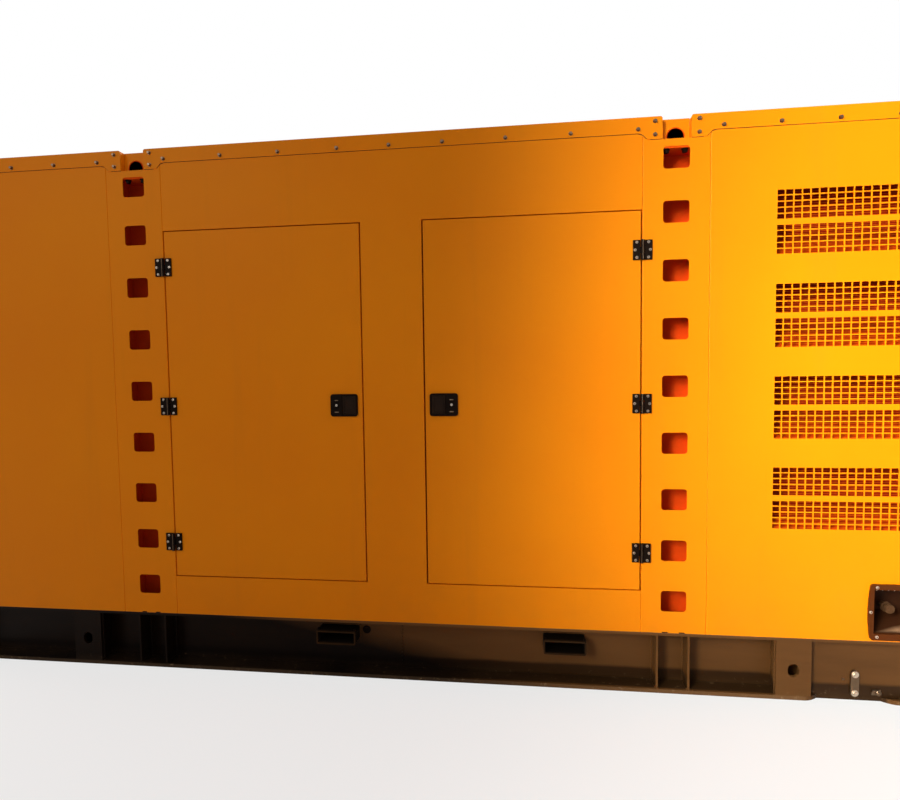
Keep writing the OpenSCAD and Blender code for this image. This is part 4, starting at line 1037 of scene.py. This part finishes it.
# %% Starter and charging alternator
starter = Part()
starter.turn((0.085, -0.385, SHAFT_Z - 0.150), LEFT, [
    (0, 0), (52, 0), (56, 4), (56, 50), (62, 55), (62, 200), (58, 205), (50, 222), (20, 228),
    (0, 228)])
starter.turn((0.050, -0.395, SHAFT_Z - 0.062), LEFT, [
    (0, 0), (24, 0), (28, 4), (28, 110), (24, 116), (0, 116)])
starter.block((0.030, -0.420, SHAFT_Z - 0.140), (0.052, -0.300, SHAFT_Z - 0.050), 4)
starter.done("starter", BLACK)
x, z = BLOCK_X - 0.012, SHAFT_Z + 0.250
charger = Part()
charger.turn((x, -0.385, z), RIGHT, [
    (0, 0), (20, 0), (22, 18), (66, 26), (74, 36), (74, 120), (66, 134), (30, 142), (0, 142)], 28)
charger.block((x + 0.040, -0.372, z - 0.100), (x + 0.066, -0.300, z - 0.060), 4)
charger.block((x + 0.040, -0.345, z - 0.10), (x + 0.066, -0.300, z + 0.04), 4)
charger.done("charging_alternator", "silencer_steel")
print("charging alternator at", round(x, 3), round(z, 3))

# %% Fuel pipes and loom
LOOM_Y, HANGING_Y, LYING_Z = -0.322, -0.352, 0.262
rail_y, rail_z, loom_z = -0.205, BLOCK_TOP + 0.052, BLOCK_TOP - 0.004
rail = grid((head_xs[0], head_xs[-1] + head_w), [rail_y], [rail_z])
drawn("fuel_rail", [rail], 11, "silencer_steel", 50, sides=10)
pipes = [[(x, rail_y, rail_z), (x, rail_y, rail_z + 0.055),
          (x + 0.03, rail_y + 0.02, rail_z + 0.075), (x + 0.03, -0.145, rail_z + 0.045)]
         for x in each(head_xs, head_w / 2)]
drawn("injector_pipes", pipes, 3.6, ZINC, 8, 18, 8)
loom = [(BLOCK_X + 0.02, LOOM_Y, loom_z), (0.02, LOOM_Y, loom_z),
        (0.05, -0.350, loom_z - 0.10), (0.05, HANGING_Y, SHAFT_Z + 0.02)]
leads = [[(x + 0.02, LOOM_Y, loom_z), (x + 0.02, LOOM_Y, loom_z + 0.055),
          (x + 0.05, -0.150, loom_z + 0.085)] for x in head_xs]
drawn("wiring_loom", [loom], 10, RUBBER, 6, 30, 8, 0.05)
drawn("sensor_leads", leads, 3.5, RUBBER, 10, 20)
print("pipes and leads:", len(pipes) + len(leads) + 1)


# %% Belt and dipstick
def belt(y0, z0, r0, y1, z1, r1):
    """The loop of a belt round two pulleys: two arcs joined by the outer tangents."""
    away = math.atan2(z1 - z0, y1 - y0)
    lean = math.acos((r0 - r1) / math.hypot(y1 - y0, z1 - z0))
    arcs = [(y0, z0, r0, away + lean + (math.tau - 2 * lean) * k / 24) for k in range(25)]
    arcs += [(y1, z1, r1, away - lean + 2 * lean * k / 10) for k in range(11)]
    return [(BLOCK_X - 0.004, y + r * math.cos(a), z + r * math.sin(a)) for y, z, r, a in arcs]


drawn("fan_belt", [belt(0.0, SHAFT_Z + 0.060, 0.164, -0.385, SHAFT_Z + 0.250, 0.026)], 6,
      RUBBER, 20, closed=True)
stick = [(-0.30, -0.318, SHAFT_Z + 0.05), (-0.30, HANGING_Y, SHAFT_Z + 0.12),
         (-0.29, HANGING_Y, SHAFT_Z + 0.44), (-0.29, HANGING_Y, SHAFT_Z + 0.47)]
drawn("dipstick", [stick], 5, STEEL, 10, 30)
grip = Part().turn((-0.29, HANGING_Y, SHAFT_Z + 0.468), UP, [
    (6, 0), (10, 2), (11, 16), (8, 24), (0, 25)], 16)
grip.done("dipstick_grip", "signal_red")
print("dipstick grip at", [round(v, 3) for v in stick[-1]])

# %% [markdown]
# ## Fan guard and hose clamps
# A wire guard closes the mouth of the fan ring: rings round the shaft and straight spokes.
# Both are wire, so both come from the bead tree. Worm-drive clamps hold the hoses.

# %% Fan guard and clamps
ring_x, FAN_Z = high("radiator").x + 0.003, SHAFT_Z + 0.140
rings = [[(ring_x, r * c, FAN_Z + r * s) for c, s in around(40)]
         for r in (0.056 + 0.0416 * k for k in range(10))]
drawn("fan_guard_rings", rings, 2.2, "radiator_paint", 30, sides=5, closed=True)
spokes = [[(ring_x - 0.003, r * c, FAN_Z + r * s) for r in (0.056, 0.430)] for c, s in around(8)]
drawn("fan_guard_spokes", spokes, 3.5, "radiator_paint", 100)
clamps = Part()
for x, z, way in ((-1.545, high("radiator").z - 0.040, RIGHT),
                  (BLOCK_X + 0.040, BLOCK_TOP + 0.015, UP),
                  (BLOCK_X - 0.030, SHAFT_Z - 0.080, RIGHT)):
    clamps.turn((x, -0.230, z), way, [(33.5, 0), (36.2, 0), (36.2, 12), (33.5, 12)], 32)
    clamps.block((x - 0.004, -0.275, z - 0.006), (x + 0.014, -0.264, z + 0.012))
clamps.done("hose_clamps", ZINC)
print("guard rings:", len(rings))

# %% [markdown]
# ## Alternator, silencer and exhaust flange
# The alternator breathes through a ring of ribs at its drive end. Its terminal box is closed
# by screws, and four power cables hang from it. The silencer hangs in two strap bands, and six
# bolts hold its flange on the turbocharger.

# %% Ribs, terminal box screws, power cables and exhaust bolts
ALT_X, ALT_R = engine[1].x, 0.320
ribs = [(ALT_X + 0.090, (ALT_R + 0.001) * c, SHAFT_Z + (ALT_R + 0.001) * s)
        for c, s in around(48)]
slats("alternator_ribs", ribs, "alternator_paint", 70, 8, 8)
for name, sign, way in (("front", -1, FRONT), ("rear", 1, REAR)):
    lid = grid(between(ALT_X + 0.178, ALT_X + 0.702, 5), [sign * 0.260],
               each([SHAFT_Z + ALT_R], 0.015, 0.184))
    screws(f"terminal_lid_screws_{name}", lid, way, ZINC, 5.5, 4, 1)
power = [[(x, -0.258, SHAFT_Z + ALT_R - 0.015), (x, -0.345, SHAFT_Z + ALT_R - 0.015),
          (x, HANGING_Y, SHAFT_Z - 0.30), (x + 0.04, HANGING_Y, LYING_Z)]
         for x in (ALT_X + 0.66 - 0.034 * k for k in range(4))]
drawn("power_cables", power, 12.5, RUBBER, 20, 60, 10)
flange = [(ALT_X - 0.359 + 0.068 * c, 0.068 * s, SHAFT_Z + 0.771) for c, s in around(6, 0.5)]
screws("exhaust_flange_bolts", flange, UP, STEEL, 7.5, 8, 2)
silencer_z = TOP - 0.330
ears, seams = Part(), Part()
for x in (MID[0] + 0.305, MID[0] + 1.395):
    ears.block((x - 0.013, -0.212, silencer_z - 0.012), (x + 0.013, -0.190, silencer_z + 0.012), 3)
    ears.turn((x, -0.203, silencer_z - 0.022), UP, [(0, 0), (8, 0), (8, 44), (0, 44)], 6)
for x in (MID[0] + 0.2505, MID[0] + 1.4395):
    seams.turn((x, 0.0, silencer_z), RIGHT, [
        (180, 0), (191.5, 2), (193.5, 5), (191.5, 9), (186, 10)], 56)
ears.done("silencer_strap_ears", STEEL)
seams.done("silencer_seams", "silencer_steel")
print("alternator ribs:", len(ribs))

# %% [markdown]
# ## Batteries
# Two starting batteries stand on a tray by the right door. Their cases are ribbed, six vent
# caps close the cells of each, lead clamps bite on the posts, and short cables join them and
# run on to the starter. A bar across both holds them down.

# %% Ribs, caps, clamps, cables and the hold-down bar
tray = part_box("batteries")
case_xs = each([tray[0].x], 0.010, 0.290)
case_y, case_top = tray[0].y + 0.010, tray[1].z - 0.019
ribs = grid(each(case_xs, *between(0.020, 0.240, 11)), [case_y - 0.0012], [case_top - 0.135])
slats("battery_ribs", ribs, "battery_case", 8, 3.6, 120)
lids = grid(each(case_xs, 0.130), [case_y + 0.100], [case_top - 0.030])
slats("battery_lid_bands", lids, "battery_case", 266, 206, 10)
vents = grid(each(case_xs, *between(0.075, 0.185, 6)), [case_y + 0.045], [case_top])
screws("battery_vents", vents, UP, "black_moulding", 8.5, 6, 1, 12, 1.15, 0.9)
post_xs = each(case_xs, 0.040, 0.220)
post_y, z = case_y + 0.100, case_top + 0.010
clamps = Part()
for x in post_xs:
    clamps.turn((x, post_y, case_top + 0.004), UP, [
        (10.5, 0), (17, 0), (18, 2), (18, 11), (16, 13), (10.5, 13)], 20)
    clamps.slab((x, post_y + 0.014, z), (14, 26, 10))
clamps.done("battery_clamps", "silencer_steel")
link = [(post_xs[k], post_y + out, z + up)
        for k, out, up in ((1, 0.035, 0), (1, 0.060, 0.016), (2, 0.060, 0.016), (2, 0.035, 0))]
drawn("battery_link", [link], 7.5, RUBBER, 8, 20, 10)
lead = [(post_xs[0], post_y + 0.035, z), (post_xs[0], post_y + 0.110, z),
        (post_xs[0] - 0.02, post_y + 0.120, LYING_Z), (0.02, post_y + 0.150, LYING_Z),
        (-0.02, -0.420, SHAFT_Z - 0.25), (-0.02, -0.405, SHAFT_Z - 0.092)]
drawn("battery_lead", [lead], 7.5, RUBBER, 12, 50, 10)
hold_down = Part().block((tray[0].x + 0.004, post_y - 0.062, case_top + 0.001),
                         (tray[1].x - 0.004, post_y - 0.038, case_top + 0.007), 1.5)
hold_down.done("battery_hold_down", STEEL)
print("battery posts:", len(post_xs))

# %% [markdown]
# ## Control cabinet
# The cabinet faces the right-hand door. On its panel sit a controller behind dark glass with
# its keys, three lamps, a key switch and a red stop button. Locks, vents, glands and cables
# finish the box. Nothing on it carries words.

# %% Panel fittings
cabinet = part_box("control_cabinet")
panel_y, PANEL_W, PANEL_H, KNOBS = cabinet[0].y, 0.450, 0.530, 0.82


def at_panel(u, v, out=0.0):
    """A point in front of the panel, by its share of the width and of the height."""
    return (cabinet[0].x + 0.015 + u * PANEL_W, panel_y - out,
            cabinet[1].z - 0.545 + v * PANEL_H)


bezel = Part().block(at_panel(0.10, 0.60), at_panel(0.62, 0.90, 0.014), 4)
bezel.done("controller_frame", "black_moulding")
glass = Part().block(at_panel(0.14, 0.67, 0.0138), at_panel(0.46, 0.87, 0.0154), 0.8)
glass.done("controller_glass", "dark_glass")
button = Part().turn(at_panel(KNOBS, 0.72), FRONT, [
    (13, 0), (13, 14), (21, 16), (23, 21), (21, 27), (12, 31), (0, 32)], 32)
button.done("stop_button", "signal_red")
ring = Part().turn(at_panel(KNOBS, 0.72), FRONT, [
    (0, 0), (34, 0), (34, 1.5), (33, 2.2), (0, 2.2)], 40)
ring.done("stop_ring", "canopy_paint")
switch = Part()
switch.turn(at_panel(KNOBS, 0.47), FRONT, [
    (16, 0), (16, 5), (13, 8), (6.5, 8), (6.5, 6), (0, 6)], 28)
switch.slab(at_panel(KNOBS, 0.47, 0.006), (2.4, -28, 20), 0.6)
switch.done("key_switch", ZINC)
locks = Part()
for v in (0.14, 0.86):
    locks.turn(at_panel(0.965, v), FRONT, [(11, 0), (11, 4), (9, 6), (0, 6)], 20)
    locks.slab(at_panel(0.965, v, 0.005), (3, -2.6, 15), 0.4)
locks.done("panel_locks", BLACK)
print("panel from", [round(v, 3) for v in at_panel(0, 0)])

# %% Keys, lamps, vents and cables
keys = [at_panel(0.175 + 0.075 * k, 0.632, 0.014) for k in range(5)]
keys += [at_panel(0.555, 0.70 + 0.055 * k, 0.014) for k in range(4)]
screws("controller_keys", keys, FRONT, "cabinet_paint", 7.5, 2.2, 0.6, 16, 1.12)
lights = [at_panel(0.18 + 0.14 * k, 0.47) for k in range(3)]
screws("panel_lamps", lights, FRONT, "signal_red", 10, 7, 3, 20, 1.3, 0.75)
vents = [at_panel(0.50, 0.10 + 0.035 * k, 0.0015) for k in range(8)]
slats("cabinet_vents", vents, "cabinet_paint", 300, 6, 7)
glands = [(cabinet[0].x + 0.12 + 0.055 * k, panel_y + 0.09, cabinet[1].z - 0.560)
          for k in range(4)]
screws("cabinet_glands", glands, DOWN, "black_moulding", 15, 22, 6, 6, 1.2, 0.8)
cables = [[(x, y, z - 0.015), (x, y, z - 0.20), (x + 0.01, y + 0.06, z - 0.45),
           (x + 0.01, y + 0.08, 0.30), (x + 0.06, y + 0.14, LYING_Z)] for x, y, z in glands]
drawn("cabinet_cables", cables, 8, RUBBER, 20, 80, 8)
print("panel keys and lamps:", len(keys) + len(lights))

# %% [markdown]
# ## Cable hatch on the intake end
# A flat screwed cover low on the end wall closes the way in for the load cables.

# %% Hatch, its two grips and its screws
x = high("right_end_wall").x
HATCH = ((x - 0.001, -0.30, BASE + 0.15), (x + 0.003, 0.30, BASE + 0.60))
hatch = Part().block(*HATCH, 1.2)
hatch.done("cable_hatch", "canopy_paint")
grips = Part()
for y in (-0.19, 0.19):
    for near, far, start, stop in ((0.002, 0.007, -0.045, -0.033), (0.002, 0.007, 0.033, 0.045),
                                   (0.006, 0.011, -0.047, 0.047)):
        grips.block((x + near, y + start, BASE + 0.350), (x + far, y + stop, BASE + 0.364))
grips.done("cable_hatch_grips", BLACK)
rows = frame_row(x + 0.003, HATCH, 0.018, 0.19)
screws("cable_hatch_screws", rows, RIGHT, ZINC, 5, 2.8, 0.6, 12, 1.2, 0.7)
print("hatch screws:", len(rows))

# %% [markdown]
# ## Floor, light and camera
# A pale floor and a white background. The floor shows the camera a mixture of its lit colour
# and plain white, so the machine's shadow stays and no extra light falls on the paint. The
# key is a tall soft lamp with a narrow spread. It stands to the left and is turned to the
# intake end, so the light falls off along the machine and reaches into the post holes.

# %% Floor
def on_rays(graph, *kinds):
    """A value that is 1 on rays of the given kinds, and 0 on all others."""
    path = graph.add("ShaderNodeLightPath").socket.node
    first, *rest = [Num(graph.tree, path.outputs[kind]) for kind in kinds]
    for other in rest:
        first = first.maths("MAXIMUM", first, other)
    return first


mesh = bpy.data.meshes.new("floor")
mesh.from_pydata([(-40, -40, -0.002), (40, -40, -0.002), (40, 40, -0.002), (-40, 40, -0.002)],
                 [], [(0, 1, 2, 3)])
floor = bpy.data.objects.new("floor", mesh)
bpy.context.scene.collection.objects.link(floor)
f = Finish("studio_floor", 0.0, Roughness=0.9, Base_Color=(0.80, 0.80, 0.80, 1.0))
white = f.add("ShaderNodeEmission", {"Strength": 1.0})
mixed = f.add("ShaderNodeMixShader", {
    0: on_rays(f, "Is Camera Ray") * 0.72, 1: Num(f.tree, f.shader.outputs[0]), 2: white})
plug(f.tree, f.tree.nodes["Material Output"].inputs["Surface"], mixed)
mesh.materials.append(f.material)
print("floor ready")

# %% World and lamps
world = bpy.data.worlds.new("studio")
world.use_nodes = True
sky = Graph(world.node_tree)
room = sky.tree.nodes["Background"]
room.inputs["Color"].default_value = (1.0, 0.94, 0.88, 1.0)
room.inputs["Strength"].default_value = 0.38
white = sky.add("ShaderNodeBackground", {"Color": (1.0, 1.0, 1.0, 1.0)})
mixed = sky.add("ShaderNodeMixShader", {
    0: on_rays(sky, "Is Camera Ray", "Is Glossy Ray", "Is Transmission Ray"),
    1: Num(sky.tree, room.outputs[0]), 2: white})
plug(sky.tree, sky.tree.nodes["World Output"].inputs["Surface"], mixed)
bpy.context.scene.world = world


def lamp(name, place, target, size, power, colour=(1.0, 1.0, 1.0), spread=180, tall=1.0):
    data = bpy.data.lights.new(name, "AREA")
    data.shape, data.energy, data.color = "RECTANGLE", power, colour
    data.size, data.size_y = size, size * tall
    data.spread = math.radians(spread)
    light = bpy.data.objects.new(name, data)
    light.location = place
    light.rotation_euler = (Vector(target) - Vector(place)).to_track_quat("-Z", "Y").to_euler()
    bpy.context.scene.collection.objects.link(light)


lamp("key", (-0.9, -3.75, 2.5), (2.5, -0.85, 1.1), 1.0, 58.0, (1.0, 0.98, 0.86), 50, 2.6)
lamp("glint", (-3.4, -4.6, 3.6), (-0.4, -0.85, 1.2), 0.4, 16.0)
lamp("back", (2.0, 7.0, 5.0), (0.0, 0.0, 1.2), 4.0, 420.0)
lamp("left", (-7.0, 1.5, 3.5), (-2.3, 0.0, 1.1), 3.0, 110.0)
lamp("right", (7.0, 1.5, 3.5), (2.3, 0.0, 1.1), 3.0, 110.0)
bpy.context.scene.view_settings.view_transform = "Standard"

# %% Camera
data = bpy.data.cameras.new("camera")
data.sensor_width, data.lens = 36.0, 23.31
data.clip_end = 200.0
camera = bpy.data.objects.new("camera", data)
camera.location = (0.3141, -3.2066, 1.3155)
camera.rotation_euler = [math.radians(a) for a in (86.853, 0.785, 6.959)]
bpy.context.scene.collection.objects.link(camera)
bpy.context.scene.camera = camera
print("camera at", tuple(round(v, 3) for v in camera.location))

# %% [markdown] ## Size
# Dressing should hardly change the size: only screw heads stand out at the ends, by a few
# millimetres.
